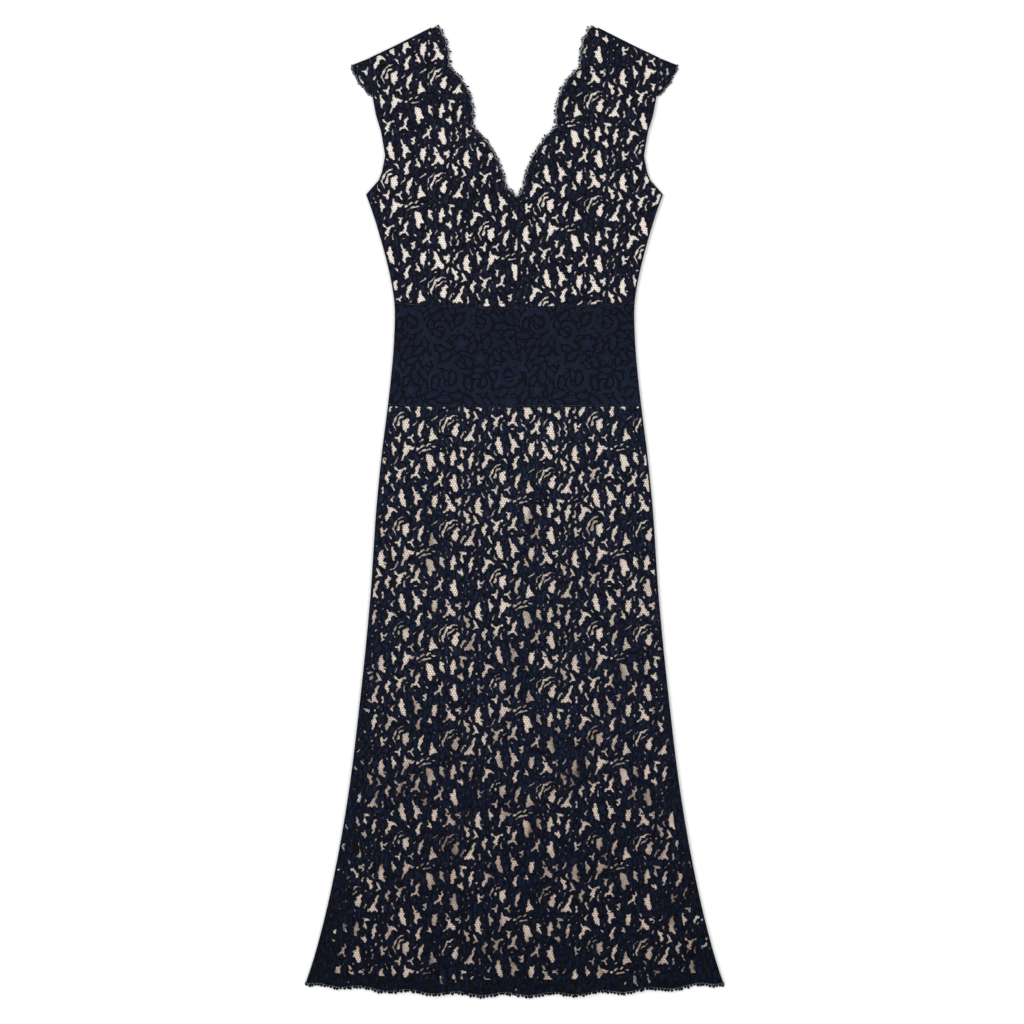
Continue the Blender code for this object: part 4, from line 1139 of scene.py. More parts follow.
# ---- The charts --------------------------------------------------------------------------------------------
@dataclass
class Chart:
    """One repeat of a pattern, made of motifs that are rows of round beads.

    Each repeat may lie a share of its height below the one on its left.
    """

    width: float = 0.150
    height: float = 0.162
    side_drop: float = 0.0
    packing_step: float = 0.001
    step: float = 0.0005
    bead_spacing: float = 0.0012
    least_half: float = 0.0004
    window: float = 0.009

    def blade(self, place: Pair, length: float, half: float, angle: float, bend: float,
              power: float = 0.6) -> Points:
        """Return the beads of a bent leaf shape.

        Args:
            place: Its middle.
            length: Its length.
            half: Its greatest half width.
            angle: Its angle in degrees.
            bend: How far its middle lies aside, as a share of half its length.
            power: How pointed its ends are.

        Returns:
            Rows of x, y and half width.
        """
        t = np.linspace(-1, 1, max(4, int(length / self.bead_spacing)))
        turn = math.radians(angle)
        along, aside = t * length / 2, bend * length / 2 * (0.5 - t**2)
        width = np.maximum(half * (1 - t**2) ** power, self.least_half)
        x = place[0] + along * math.cos(turn) - aside * math.sin(turn)
        y = place[1] + along * math.sin(turn) + aside * math.cos(turn)
        return np.stack([x, y, width], 1)

    def arc(self, place: Pair, ends: Pair, start: float, sweep: float,
            half: float, least: float = 0.0003) -> Points:
        """Return the beads of an arc whose radius changes, widest in its middle.

        Args:
            place: Its centre.
            ends: Its first and its last radius.
            start: Its first angle in degrees.
            sweep: The angle it turns through.
            half: Its half width in the middle.
            least: Its half width at the ends.

        Returns:
            Rows of x, y and half width.
        """
        length = abs(math.radians(sweep)) * sum(ends) / 2
        t = np.linspace(0, 1, max(5, int(length / self.bead_spacing)))
        distance = ends[0] + (ends[1] - ends[0]) * t
        angle = np.radians(start + sweep * t)
        width = np.maximum(half * (1 - (2 * t - 1) ** 2) ** 0.5, least)
        return np.stack([place[0] + distance * np.cos(angle), place[1] + distance * np.sin(angle), width], 1)

    def grid_size(self, step: float) -> tuple[int, int]:
        """Return how many rows and columns of places one repeat has."""
        return round(self.height / step), round(self.width / step)

    def wrapped(self, rows: Array, columns: Array, size: tuple[int, int]) -> tuple[Array, ...]:
        """Return the rows and columns of one repeat that places of the endless pattern fall on."""
        repeats = np.floor_divide(columns, size[1])
        return (rows + repeats * round(self.side_drop * size[0])) % size[0], columns - repeats * size[1]

    def reach(self, motif: Points, step: float) -> tuple[tuple, Array, Points]:
        """Work out how far inside a motif the places round it lie.

        Args:
            motif: The motif's beads.
            step: The distance between places.

        Returns:
            The places' wrapped rows and columns, the distances, negative outside, and the first place.
        """
        margin = self.window + motif[:, 2].max()
        low = np.floor((motif[:, :2].min(0) - margin) / step).astype(int)
        high = np.ceil((motif[:, :2].max(0) + margin) / step).astype(int)
        columns, rows = np.arange(low[0], high[0] + 1), np.arange(low[1], high[1] + 1)
        inside = np.full((len(rows), len(columns)), -1.0)
        for x, y, width in motif:
            inside = np.maximum(inside, width - np.hypot(columns[None] * step - x, rows[:, None] * step - y))
        places = self.wrapped(*np.meshgrid(rows, columns, indexing="ij"), self.grid_size(step))
        return places, inside, low * step

    def room(self, inside: Array, motif: Points) -> float:
        """Return how far a motif would lie from the ones that are already there."""
        at = (motif[:, :2] / self.packing_step).round().astype(int)
        return float((-inside[self.wrapped(at[:, 1], at[:, 0], inside.shape)] - motif[:, 2]).min())

    def add(self, motif: Points, motifs: list[Points], inside: Array) -> None:
        """Add a motif to the list and to the grid of filled places.

        Args:
            motif: The motif's beads.
            motifs: The motifs so far.
            inside: How far inside a motif each place lies.
        """
        motifs.append(motif)
        places, values, _ = self.reach(motif, self.packing_step)
        inside[places] = np.maximum(inside[places], values)

    def pack(self, shapes: list[tuple[Callable, tuple, int]], least: float, motifs: list[Points],
             inside: Array, tries: slice = slice(0, 3500, 40)) -> None:
        """Fill the open places with shapes, one kind after another.

        Args:
            shapes: Rows of a function of a shape's ways to lie, its sizes, half width last, and its number.
            least: The least distance between motifs.
            motifs: The motifs so far.
            inside: How far inside a motif each place lies.
            tries: Which places are tried, in order of their room.
        """
        columns = inside.shape[1]
        for ways, sizes, most in shapes:
            for _ in range(most):
                best, best_room = None, least
                for place in np.argsort(inside, axis=None)[tries]:
                    row, col = divmod(int(place), columns)
                    if -inside[row, col] < sizes[-1] + least:
                        break
                    for motif in ways((col * self.packing_step, row * self.packing_step), sizes):
                        if (room := self.room(inside, motif)) > best_room:
                            best, best_room = motif, room
                if best is None:
                    break
                self.add(best, motifs, inside)

    @cached_property
    def motifs(self) -> list[Points]:
        """The beads of every motif of the repeat."""
        raise NotImplementedError

    @cached_property
    def nearest(self) -> tuple[Array, Array]:
        """How far inside its first and second nearest motifs each place lies.

        Returns:
            Two grids, negative outside the motifs.
        """
        first = np.full(self.grid_size(self.step), -self.window)
        second = first.copy()
        for motif in self.motifs:
            places, values, _ = self.reach(motif, self.step)
            second[places] = np.maximum(second[places], np.minimum(first[places], values))
            first[places] = np.maximum(first[places], values)
        return first, second

    def waves(self, rows: tuple) -> Array:
        """Return a sum of waves that repeats with the chart.

        Args:
            rows: Rows of waves across, waves up and phase.

        Returns:
            A grid of about -1 to 1.
        """
        height, width = self.grid_size(self.step)
        up, across = np.mgrid[0:height, 0:width] * self.step
        total = 0.0
        for waves_across, waves_up, phase in rows:
            turn = (waves_across + self.side_drop * (waves_up % 2)) * across / self.width
            total = total + np.sin(2 * math.pi * (turn + waves_up * up / self.height) + phase)
        return total / math.sqrt(len(rows))

    def sample(self, grid: Array, x: Array, y: Array, origin: Pair) -> Array:
        """Read one of the chart's grids at places on a panel.

        Args:
            grid: The grid.
            x, y: The places on the panel.
            origin: Where the repeat's corner lies on the panel.

        Returns:
            The values.
        """
        row = np.round((y - origin[1]) / self.step).astype(int)
        col = np.round((x - origin[0]) / self.step).astype(int)
        return grid[self.wrapped(row, col, grid.shape)]


@dataclass
class LaceChart(Chart):
    """The lace's chart: its motifs are the gaps between cloth scrolls and leaves."""

    side_drop: float = 0.5
    window: float = 0.014
    # place across, place up, radius, turn, angle at which it starts, kind
    rosettes: tuple = (
        (0.028, 0.138, 0.032, 1, -60, 0), (0.103, 0.147, 0.028, -1, 250, 1),
        (0.066, 0.100, 0.030, 1, 110, 2), (0.138, 0.088, 0.031, -1, 165, 0),
        (0.030, 0.058, 0.029, -1, 240, 1), (0.098, 0.034, 0.032, 1, -100, 2),
    )
    # the eye of each kind: length in a rosette of the radius below, half width, angle, bend
    eyes: tuple = ((0.027, 0.0063, 95, 0.30), (0.024, 0.0057, 80, -0.25), (0.029, 0.0057, 100, 0.35))
    eye_radius: float = 0.030
    eye_point: float = 0.8
    # the slits of each kind: radius at each end, start, sweep, half width, in parts of the rosette's radius
    slit_parts: int = 32
    slits: tuple = (
        ((16.0, 14.0, 20, 120, 1.85), (22.5, 21.5, 10, 85, 1.4), (29.0, 28.0, 25, 75, 1.5),
         (17.0, 18.5, 215, 75, 1.5), (25.0, 24.0, 185, 105, 2.2)),
        ((15.0, 17.5, 60, 95, 1.6), (22.0, 24.5, 35, 120, 2.1), (29.5, 30.0, 50, 80, 1.25),
         (19.0, 15.5, 230, 70, 2.1), (27.0, 27.0, 215, 60, 1.4)),
        ((17.5, 15.5, -20, 100, 2.1), (24.5, 24.0, -5, 70, 1.4), (17.0, 16.5, 155, 70, 1.4),
         (23.5, 26.5, 130, 110, 1.85), (30.0, 30.0, 240, 65, 1.6)),
    )
    # lengths of the three arms, half width in the middle
    tripods: tuple = (
        (0.022, 0.012, 0.011, 0.0053), (0.018, 0.011, 0.010, 0.0047), (0.014, 0.009, 0.008, 0.0040),
    )
    tripod_angles: tuple = (70, 90, 110, 250, 270, 290)
    arm_spread: float = 128
    arm_leans: Pair = (-18, 18)
    # share of the half width, half width left at an arm's end, roundness
    arm: Triple = (0.9, 0.0005, 0.8)
    # how many gaps of each size, of either kind
    most_gaps: tuple = (4, 5, 6)
    # length, half width
    comets: tuple = ((0.038, 0.0051), (0.032, 0.0045), (0.025, 0.0039))
    comet_angles: tuple = (65, 80, 95, 110)
    comet_bend: float = 0.3
    # the head's share of the length, its roundness, the tail's half width, how much of it fades
    head_share: float = 0.62
    head_round: float = 0.8
    tail: Pair = (0.0011, 0.6)
    small_gaps: tuple = ((0.009, 0.006, 0.006, 0.0028), (0.014, 0.0027))
    most_small: int = 12
    slivers: tuple = ((0.018, 0.0013), (0.012, 0.0012), (0.008, 0.0011))
    most_slivers: int = 22
    sliver_angles: tuple = (30, 45, 60, 75, 90, 105, 120, 135, 150)
    sliver_bend: float = 0.25
    # how far apart the leaf ends stand along a gap, their radius, how far outside the gap their middles lie
    leaf_ends: Triple = (0.0062, 0.0027, 0.0012)
    leafed_half: float = 0.0024
    slit_room: float = 0.0023
    early_slits: int = 2
    gap_room: float = 0.0058
    small_room: float = 0.0044
    sliver_room: float = 0.0036
    wander: float = 0.0011
    swell: float = 0.0005
    jag: float = 0.00034
    # waves across, waves up, phase
    aside: tuple = (
        (13, 4, 0.3), (-9, 10, 1.7), (5, 15, 3.1), (-11, -8, 4.6), (15, -3, 5.9), (3, -14, 2.4),
    )
    upwards: tuple = (
        (12, 7, 1.3), (-7, 12, 2.9), (14, 1, 4.3), (-4, 15, 0.6), (9, -11, 5.2), (-15, 5, 3.6),
    )
    swells: tuple = (
        (16, 5, 0.7), (-13, 11, 2.2), (8, 17, 3.9), (-6, 18, 5.5), (17, -4, 1.2), (11, -15, 2.9),
        (14, 10, 0.3), (-17, -7, 4.4),
    )
    jags: tuple = (
        (25, 9, 0.7), (-21, 17, 2.2), (13, 27, 3.9), (-9, 29, 5.5), (28, -3, 1.2), (17, -24, 2.9),
        (31, 14, 0.3), (-27, -15, 4.4),
    )
    # how a panel's lace varies: turns a metre across and up, phase
    varieties: tuple = ((37, 21, 0.5), (-29, 33, 2.1), (17, -41, 4.0))

    def tripod_ways(self, place: Pair, sizes: tuple) -> list[Points]:
        """Return the ways that a gap with three arms can lie at a place.

        Args:
            place: The gap's middle.
            sizes: The lengths of its arms and its half width.

        Returns:
            The beads of each way.
        """
        ways = []
        share, end, power = self.arm
        for angle in self.tripod_angles:
            for lean in self.arm_leans:
                arms = []
                for length, turn in zip(sizes[:3], (0, self.arm_spread + lean, lean - self.arm_spread)):
                    t = np.linspace(0, 1, max(3, int(length / self.bead_spacing)))
                    way = math.radians(angle + turn)
                    width = share * sizes[3] * (1 - t) ** power + end
                    x, y = place[0] + length * t * math.cos(way), place[1] + length * t * math.sin(way)
                    arms.append(np.stack([x, y, width], 1))
                ways.append(np.concatenate(arms))
        return ways

    def comet_ways(self, place: Pair, sizes: tuple) -> list[Points]:
        """Return the ways that an upright gap with a round head and a thin, bent tail can lie at a place.

        Args:
            place: The gap's middle.
            sizes: Its length and half width.

        Returns:
            The beads of each way.
        """
        ways = []
        for angle in self.comet_angles:
            for bend in (self.comet_bend, -self.comet_bend):
                comet = self.blade(place, *sizes, angle, bend)
                t = np.linspace(0, 1, len(comet))
                head = np.sin(math.pi * np.minimum(t / self.head_share, 1)) ** self.head_round
                head = np.where(t < self.head_share, sizes[1] * head, 0)
                width = np.maximum(head, self.tail[0] * (1 - self.tail[1] * t))
                ways += [np.column_stack([comet[:, :2], way]) for way in (width, width[::-1])]
        return ways

    def add_slits(self, which: slice, motifs: list[Points], inside: Array) -> None:
        """Add the rosettes' slits that have room.

        Args:
            which: Which slits of each rosette.
            motifs: The motifs so far.
            inside: How far inside a motif each place lies.
        """
        for x, y, radius, turn, start, kind in self.rosettes:
            unit = radius / self.slit_parts
            for first, last, from_angle, sweep, half in self.slits[kind][which]:
                ends = first * unit, last * unit
                slit = self.arc((x, y), ends, start + turn * from_angle, turn * sweep, half * unit)
                if self.room(inside, slit) > self.slit_room:
                    self.add(slit, motifs, inside)

    def sliver_ways(self, place: Pair, sizes: tuple) -> list[Points]:
        """Return the ways that a sliver can lie at a place."""
        bends = (self.sliver_bend, -self.sliver_bend)
        return [self.blade(place, *sizes, angle, bend) for angle in self.sliver_angles for bend in bends]

    @cached_property
    def motifs(self) -> list[Points]:
        """The beads of every gap of the repeat.

        Returns:
            Rows of x, y and half width, for each gap.
        """
        motifs: list[Points] = []
        inside = np.full(self.grid_size(self.packing_step), -self.window)
        for x, y, radius, turn, _, kind in self.rosettes:
            length, half, angle, bend = self.eyes[kind]
            length = length * radius / self.eye_radius
            self.add(self.blade((x, y), length, half, angle, bend * turn, self.eye_point), motifs, inside)
        self.add_slits(slice(0, self.early_slits), motifs, inside)
        gaps = []
        for tripod, most, comet in zip(self.tripods, self.most_gaps, self.comets):
            gaps += [(self.tripod_ways, tripod, most), (self.comet_ways, comet, most)]
        self.pack(gaps, self.gap_room, motifs, inside)
        self.add_slits(slice(self.early_slits, None), motifs, inside)
        small = zip((self.tripod_ways, self.comet_ways), self.small_gaps, (self.most_small, self.most_small))
        self.pack(list(small), self.small_room, motifs, inside)
        slivers = [(self.sliver_ways, sizes, self.most_slivers) for sizes in self.slivers]
        self.pack(slivers, self.sliver_room, motifs, inside)
        return motifs

    def leaf_end_beads(self) -> list[Points]:
        """Return the round leaf ends that stand into the wider gaps, as one bead each.

        Returns:
            A row of x, y and radius for each leaf end.
        """
        pitch, radius, out = self.leaf_ends
        every = round(pitch / self.bead_spacing)
        ends = []
        wide = [motif for motif in self.motifs if motif[:, 2].max() >= self.leafed_half]
        for number, motif in enumerate(wide):
            for side in (-1, 1):
                for k in range((2 * number + (1 + side) * every // 4) % every, len(motif) - 1, every):
                    ahead = motif[k + 1, :2] - motif[k, :2]
                    length = float(np.hypot(*ahead))
                    if motif[k, 2] < self.leafed_half or length > 2 * self.bead_spacing:
                        continue
                    aside = side * np.array([-ahead[1], ahead[0]]) / length
                    place = motif[k, :2] + aside * (motif[k, 2] + out)
                    if self.sample(self.nearest[0], *place, (0.0, 0.0)) < -0.5 * out:
                        ends.append(np.array([[*place, radius]]))
        return ends

    @cached_property
    def cloth(self) -> Array:
        """How far inside the cloth each place lies, negative in a gap, with uneven edges.

        Returns:
            A grid of the repeat.
        """
        gap = self.nearest[0].copy()
        for end in self.leaf_end_beads():
            places, values, _ = self.reach(end, self.step)
            gap[places] = np.minimum(gap[places], -values)
        height, width = self.grid_size(self.step)
        up, across = np.mgrid[0:height, 0:width] * self.step
        x, y = across + self.wander * self.waves(self.aside), up + self.wander * self.waves(self.upwards)
        uneven = self.swell * self.waves(self.swells) + self.jag * self.waves(self.jags)
        return uneven - self.sample(gap, x, y, (0.0, 0.0))

    def variety(self, x: Array, y: Array) -> Array:
        """Return how much denser the cloth is at a place of a panel than in the repeat, from -1 to 1."""
        waves = [np.sin(across * x + up * y + phase) for across, up, phase in self.varieties]
        return sum(waves) / len(waves)


@dataclass
class BandChart(Chart):
    """The waistband's chart of raised motifs: scrolls with leaves along them, flowers and loose leaves."""

    width: float = 0.196
    height: float = 0.160
    # place across, place up, radius at each end, start, sweep, half width
    scrolls: tuple = (
        (0.048, 0.114, 0.0300, 0.0080, 200, -400, 0.0040), (0.146, 0.120, 0.0270, 0.0075, -20, 385, 0.0038),
        (0.100, 0.046, 0.0300, 0.0080, 20, 410, 0.0041), (0.186, 0.042, 0.0260, 0.0075, 190, -380, 0.0037),
        (0.034, 0.032, 0.0250, 0.0070, 130, 370, 0.0037), (0.098, 0.108, 0.0160, 0.0060, 60, -310, 0.0030),
        (0.060, 0.080, 0.0550, 0.0500, 250, 62, 0.0019), (0.150, 0.060, 0.0600, 0.0500, 75, 55, 0.0019),
    )
    # place across, place up, radius of a flower
    flowers: tuple = (
        (0.142, 0.078, 0.0125), (0.004, 0.072, 0.0120), (0.068, 0.010, 0.0110), (0.186, 0.098, 0.0105),
        (0.098, 0.148, 0.0110), (0.014, 0.146, 0.0100),
    )
    petals: int = 5
    # shares of a flower's radius: its middle, a petal's place, length and half width; a petal's roundness
    flower_middle: float = 0.24
    petal: tuple = (0.64, 0.72, 0.33, 0.45)
    # place on a scroll, outwards or inwards, length, half width
    sprays: tuple = (
        (0.05, 1, 0.020, 0.0040), (0.15, 1, 0.024, 0.0046), (0.27, 1, 0.020, 0.0041),
        (0.39, 1, 0.017, 0.0036), (0.10, -1, 0.015, 0.0032), (0.22, -1, 0.013, 0.0028),
        (0.53, 1, 0.013, 0.0031),
    )
    spray_angle: float = 40.0
    leaf_bend: float = 0.14
    leaf_point: float = 0.9
    leaf_angles: tuple = (0, 20, 40, 60, 80, 100, 120, 140, 160)
    # length, half width
    leaves: tuple = ((0.022, 0.0045), (0.018, 0.0039), (0.014, 0.0033), (0.010, 0.0026), (0.007, 0.0020))
    most_leaves: tuple = (14, 22, 26, 30, 24)
    leaf_room: float = 0.0009
    overlap: float = -0.0022
    scroll_end: float = 0.35
    finest_cord: float = 0.06e-6
    least_cord: float = 0.004
    vein_end: float = 0.0014
    vein_pitch: float = 0.0028

    def flower(self, x: float, y: float, radius: float) -> list[Points]:
        """Return the beads of a flower's petals and of its middle.

        Args:
            x, y: The flower's middle.
            radius: Its radius.

        Returns:
            The beads of each part.
        """
        parts = [np.array([[x, y, radius * self.flower_middle]])]
        out, length, half, power = self.petal
        for number in range(self.petals):
            turn = 90 + 360 * number / self.petals
            way = math.radians(turn)
            middle = x + out * radius * math.cos(way), y + out * radius * math.sin(way)
            parts.append(self.blade(middle, radius * length, radius * half, turn, 0.0, power))
        return parts

    def spray(self, scroll: Points, outwards: float) -> list[Points]:
        """Return the leaves along a scroll, which point forwards and away from its middle.

        Args:
            scroll: The scroll's beads.
            outwards: 1 where the scroll turns clockwise, and otherwise -1.

        Returns:
            The beads of each leaf.
        """
        leaves = []
        for share, side, length, half in self.sprays:
            at = int(share * (len(scroll) - 1))
            ahead = scroll[min(at + 2, len(scroll) - 1), :2] - scroll[max(at - 2, 0), :2]
            angle = math.degrees(math.atan2(ahead[1], ahead[0])) + side * outwards * self.spray_angle
            way = math.radians(angle)
            root = scroll[at, :2] + (scroll[at, 2] + length * 0.55) * np.array([math.cos(way), math.sin(way)])
            bend = self.leaf_bend * side * outwards
            leaves.append(self.blade(tuple(root), length, half, angle, bend, self.leaf_point))
        return leaves

    def leaf_ways(self, place: Pair, sizes: tuple) -> list[Points]:
        """Return the ways that a loose leaf can lie at a place."""
        return [self.blade(place, *sizes, angle, bend, self.leaf_point)
                for angle in self.leaf_angles for bend in (self.leaf_bend, -self.leaf_bend)]

    @cached_property
    def motifs(self) -> list[Points]:
        """The beads of every motif of the repeat.

        Returns:
            Rows of x, y and half width, for each motif.
        """
        motifs: list[Points] = []
        inside = np.full(self.grid_size(self.packing_step), -self.window)
        for x, y, first, last, start, sweep, half in self.scrolls:
            least = half * self.scroll_end
            self.add(self.arc((x, y), (first, last), start, sweep, half, least), motifs, inside)
        for flower in self.flowers:
            for part in self.flower(*flower):
                self.add(part, motifs, inside)
        for scroll, row in zip(motifs[:len(self.scrolls)], self.scrolls):
            for leaf in self.spray(scroll, -math.copysign(1, row[5])):
                if self.room(inside, leaf[3:]) > self.overlap:
                    self.add(leaf, motifs, inside)
        loose = [(self.leaf_ways, sizes, most) for sizes, most in zip(self.leaves, self.most_leaves)]
        self.pack(loose, self.leaf_room, motifs, inside)
        return motifs

    def cord_lines(self, level: float, hidden: float, vein: float) -> list[Points]:
        """Trace the cords that run just inside the motifs' edges, and the wider motifs' veins.

        Args:
            level: How far inside the edge a cord runs.
            hidden: How deep another motif may cover it.
            vein: The least half width of a motif with a vein.

        Returns:
            Open lines of places on the repeat.
        """
        lines = []
        for motif in self.motifs:
            _, inside, corner = self.reach(motif, self.step)
            for loop in trace_low(level - inside):
                line = thinned([loop * self.step + corner], self.finest_cord)[0]
                line = np.concatenate([line, line[:1]])
                cover = self.sample(self.nearest[0], line[:, 0], line[:, 1], (0.0, 0.0)) - level
                lines += runs_of(line, cover < hidden, self.least_cord)
            if motif[:, 2].max() > vein:
                lines.append(evenly(motif[motif[:, 2] > self.vein_end, :2], self.vein_pitch))
        return lines


def runs_of(line: Points, keep: Array, least: float) -> list[Points]:
    """Split a line into its kept runs that are long enough.

    Args:
        line: The line's points.
        keep: Which points are kept.
        least: The least length of a run.

    Returns:
        The runs.
    """
    bounds = np.nonzero(np.diff(np.concatenate([[0], keep.astype(int), [0]])))[0]
    runs = [line[start:end] for start, end in zip(bounds[::2], bounds[1::2]) if end - start > 2]
    return [run for run in runs if np.linalg.norm(np.diff(run, axis=0), axis=1).sum() > least]


# ---- Lace panels -------------------------------------------------------------------------------------------
@dataclass
class LacePanel:
    """A panel of lace: a thin shell with its gaps cut out and its cloth swollen between them."""

    name: str
    chart: LaceChart
    outline: Points
    origin: Pair
    floor: Surface
    denser: Surface
    border: float = 0.0025
    uneven: float = 0.0004
    thickness: float = 0.0007
    puff: float = 0.0005
    step: float = 0.001
    finest: float = 0.3e-6
    least_gap: float = 2.0e-6
    least_island: float = 6.0e-6
    inner_pitch: float = 0.0042
    # how far the points inside the cloth stay from its gaps and from the outline
    inner_clear: Pair = (0.0013, 0.0016)
    swell_width: float = 0.0028

    @cached_property
    def grids(self) -> tuple[Array, Array, Points]:
        """How far inside the cloth and inside the outline each place of the panel lies.

        Returns:
            Both grids and the place of their first corner.
        """
        low = np.floor(self.outline.min(0) / self.step) * self.step - 4 * self.step
        size = np.ceil((self.outline.max(0) - low) / self.step).astype(int) + 5
        x = low[0] + np.arange(size[0]) * self.step
        y = low[1] + np.arange(size[1]) * self.step
        x, y = np.meshgrid(x, y)
        cloth = self.chart.sample(self.chart.cloth, x, y, self.origin) + self.denser(x, y)
        cloth += self.uneven * self.chart.variety(x, y)
        depth = self.edge_distance(x, y)
        return np.maximum(cloth, self.border - depth), depth, low

    def edge_distance(self, x: Array, y: Array, every: int = 5) -> Array:
        """Return each place's distance inside the outline, worked out on a coarser grid.

        Args:
            x, y: The places, in a fine grid.
            every: How many fine steps a coarse one has.

        Returns:
            The distances, negative outside it.
        """
        rows, columns = (np.append(np.arange(0, size - 1, every), size - 1) for size in x.shape)
        coarse_x, coarse_y = x[np.ix_(rows, columns)], y[np.ix_(rows, columns)]
        places = np.stack([coarse_x.ravel(), coarse_y.ravel()], 1)
        coarse = distance_inside(self.outline, places).reshape(coarse_x.shape)
        every_row, every_column = np.arange(x.shape[0]), np.arange(x.shape[1])
        wide = np.stack([np.interp(every_column, columns, row) for row in coarse])
        return np.stack([np.interp(every_row, rows, wide[:, k]) for k in every_column], 1)

    def read(self, grid: Array, x: Array, y: Array) -> Array:
        """Read one of the panel's grids at places.

        Args:
            grid: The grid.
            x, y: The places.

        Returns:
            The values.
        """
        low = self.grids[2]
        col = np.clip(np.round((x - low[0]) / self.step).astype(int), 0, grid.shape[1] - 1)
        row = np.clip(np.round((y - low[1]) / self.step).astype(int), 0, grid.shape[0] - 1)
        return grid[row, col]

    def cloth_at(self, x: Array, y: Array) -> Array:
        """Return how far inside the cloth a place of the panel lies."""
        return self.read(self.grids[0], x, y)

    def depth_at(self, x: Array, y: Array) -> Array:
        """Return how far inside the outline a place of the panel lies."""
        return self.read(self.grids[1], x, y)

    def lines_at(self, level: float, finest: float) -> list[Points]:
        """Trace the lines that run at a distance inside the cloth's edges, round its gaps.

        Args:
            level: The distance inside the cloth.
            finest: The area of the smallest triangle that stays.

        Returns:
            The closed lines.
        """
        grid, _, low = self.grids
        bounded = grid.copy()
        bounded[[0, -1]] = bounded[:, [0, -1]] = 1.0
        return thinned([loop * self.step + low for loop in trace_low(bounded - level)], finest)

    def gaps(self) -> list[Points]:
        """Trace the gaps, and the cloth that stands in them.

        Returns:
            Closed outlines, anticlockwise round a gap.
        """
        loops = self.lines_at(0.0, 0.0)
        areas = [signed_area(loop) for loop in loops]
        kept = [loop for loop, area in zip(loops, areas)
                if area > self.least_gap or area < -self.least_island]
        return thinned(kept, self.finest) if kept else []

    def relief(self, x: Array, y: Array) -> Array:
        """Return how far the cloth swells at a place, from 0 at a gap's edge to 1."""
        return smooth_step(self.cloth_at(x, y) / self.swell_width)

    def build(self, finish: Material) -> Piece:
        """Build the panel's mesh.

        Args:
            finish: The cloth's material.

        Returns:
            The piece.
        """
        inner = staggered(self.outline, (self.inner_pitch, self.inner_pitch * TRIANGLE_HEIGHT))
        inner = inner[self.cloth_at(inner[:, 0], inner[:, 1]) > self.inner_clear[0]]
        inner = inner[self.depth_at(inner[:, 0], inner[:, 1]) > self.inner_clear[1]]
        corners, triangles = filled(self.outline, self.gaps(), inner)
        x, y = corners[:, 0], corners[:, 1]
        floor, swell = self.floor(x, y), self.relief(x, y)
        mesh_corners, faces = shell(corners, triangles, floor, floor + self.thickness + self.puff * swell)
        values = {"swell": np.concatenate([swell, swell * 0])}
        return make_piece(self.name, mesh_corners, faces, finish, values)

    def top(self, x: Array, y: Array) -> Array:
        """Return the height of the panel's top at a place."""
        return self.floor(x, y) + self.thickness + self.puff * self.relief(x, y)


# ---- Cords, net and lashed edges ---------------------------------------------------------------------------
@dataclass
class CordWork:
    """Cords laid on cloth: low ridges along lines."""

    width: float = 0.0011
    rise: float = 0.00045
    buried: float = 0.00015

    def along(self, lines: list[Points], surface: Surface, closed: bool) -> tuple[Points, Array]:
        """Lay cords along lines.

        Args:
            lines: The lines' points.
            surface: The height that the cords lie at.
            closed: Whether each line returns to its start.

        Returns:
            Corners and faces.
        """
        points = np.concatenate(lines)
        out = np.concatenate([outward(line, closed) for line in lines])
        sizes = np.array([len(line) for line in lines])
        first = np.repeat(np.cumsum(sizes) - sizes, sizes)
        here = np.arange(len(points))
        after = first + (here - first + 1) % np.repeat(sizes, sizes)
        if not closed:
            here, after = here[after > here], after[after > here]
        left, right = points - out * self.width / 2, points + out * self.width / 2
        feet = [np.column_stack([side, surface(side[:, 0], side[:, 1]) - self.buried])
                for side in (left, right)]
        top = np.column_stack([points, surface(points[:, 0], points[:, 1]) + self.rise])
        count = len(points)
        faces = [np.stack([here, here + count, after + count, after], 1),
                 np.stack([here + count, here + 2 * count, after + 2 * count, after + count], 1)]
        return np.concatenate([feet[0], top, feet[1]]), np.concatenate(faces)


@dataclass
class NetWork:
    """The fine net that fills the lace's gaps: threads round six-sided holes."""

    pitch: float = 0.0039
    thread: float = 0.00042
    lift: float = 0.00015
    overlap: float = 0.0010
    edge_clear: float = 0.002

    def in_gaps(self, panel: LacePanel) -> tuple[Points, Array]:
        """Lay the net in a panel's gaps.

        Args:
            panel: The panel.

        Returns:
            Corners and faces.
        """
        side = self.pitch / math.sqrt(3)
        middles = staggered(panel.outline, (self.pitch, self.pitch * math.sqrt(3) / 2))
        node = middles + np.array([0.0, side])
        starts, ends = [], []
        for turn in (90, 210, 330):
            angle = math.radians(turn)
            starts.append(node)
            ends.append(node + side * np.array([math.cos(angle), math.sin(angle)]))
        start, end = np.concatenate(starts), np.concatenate(ends)
        middle = (start + end) / 2
        keep = (panel.cloth_at(middle[:, 0], middle[:, 1]) < self.overlap)
        keep &= panel.depth_at(middle[:, 0], middle[:, 1]) > self.edge_clear
        start, end = start[keep], end[keep]
        ahead = end - start
        aside = np.stack([-ahead[:, 1], ahead[:, 0]], 1) / side * self.thread / 2
        corners = np.concatenate([start - aside, end - aside, end + aside, start + aside])
        height = panel.floor(corners[:, 0], corners[:, 1]) + self.lift
        here, count = np.arange(len(start)), len(start)
        faces = np.stack([here, here + count, here + 2 * count, here + 3 * count], 1)
        return np.column_stack([corners, height]), faces


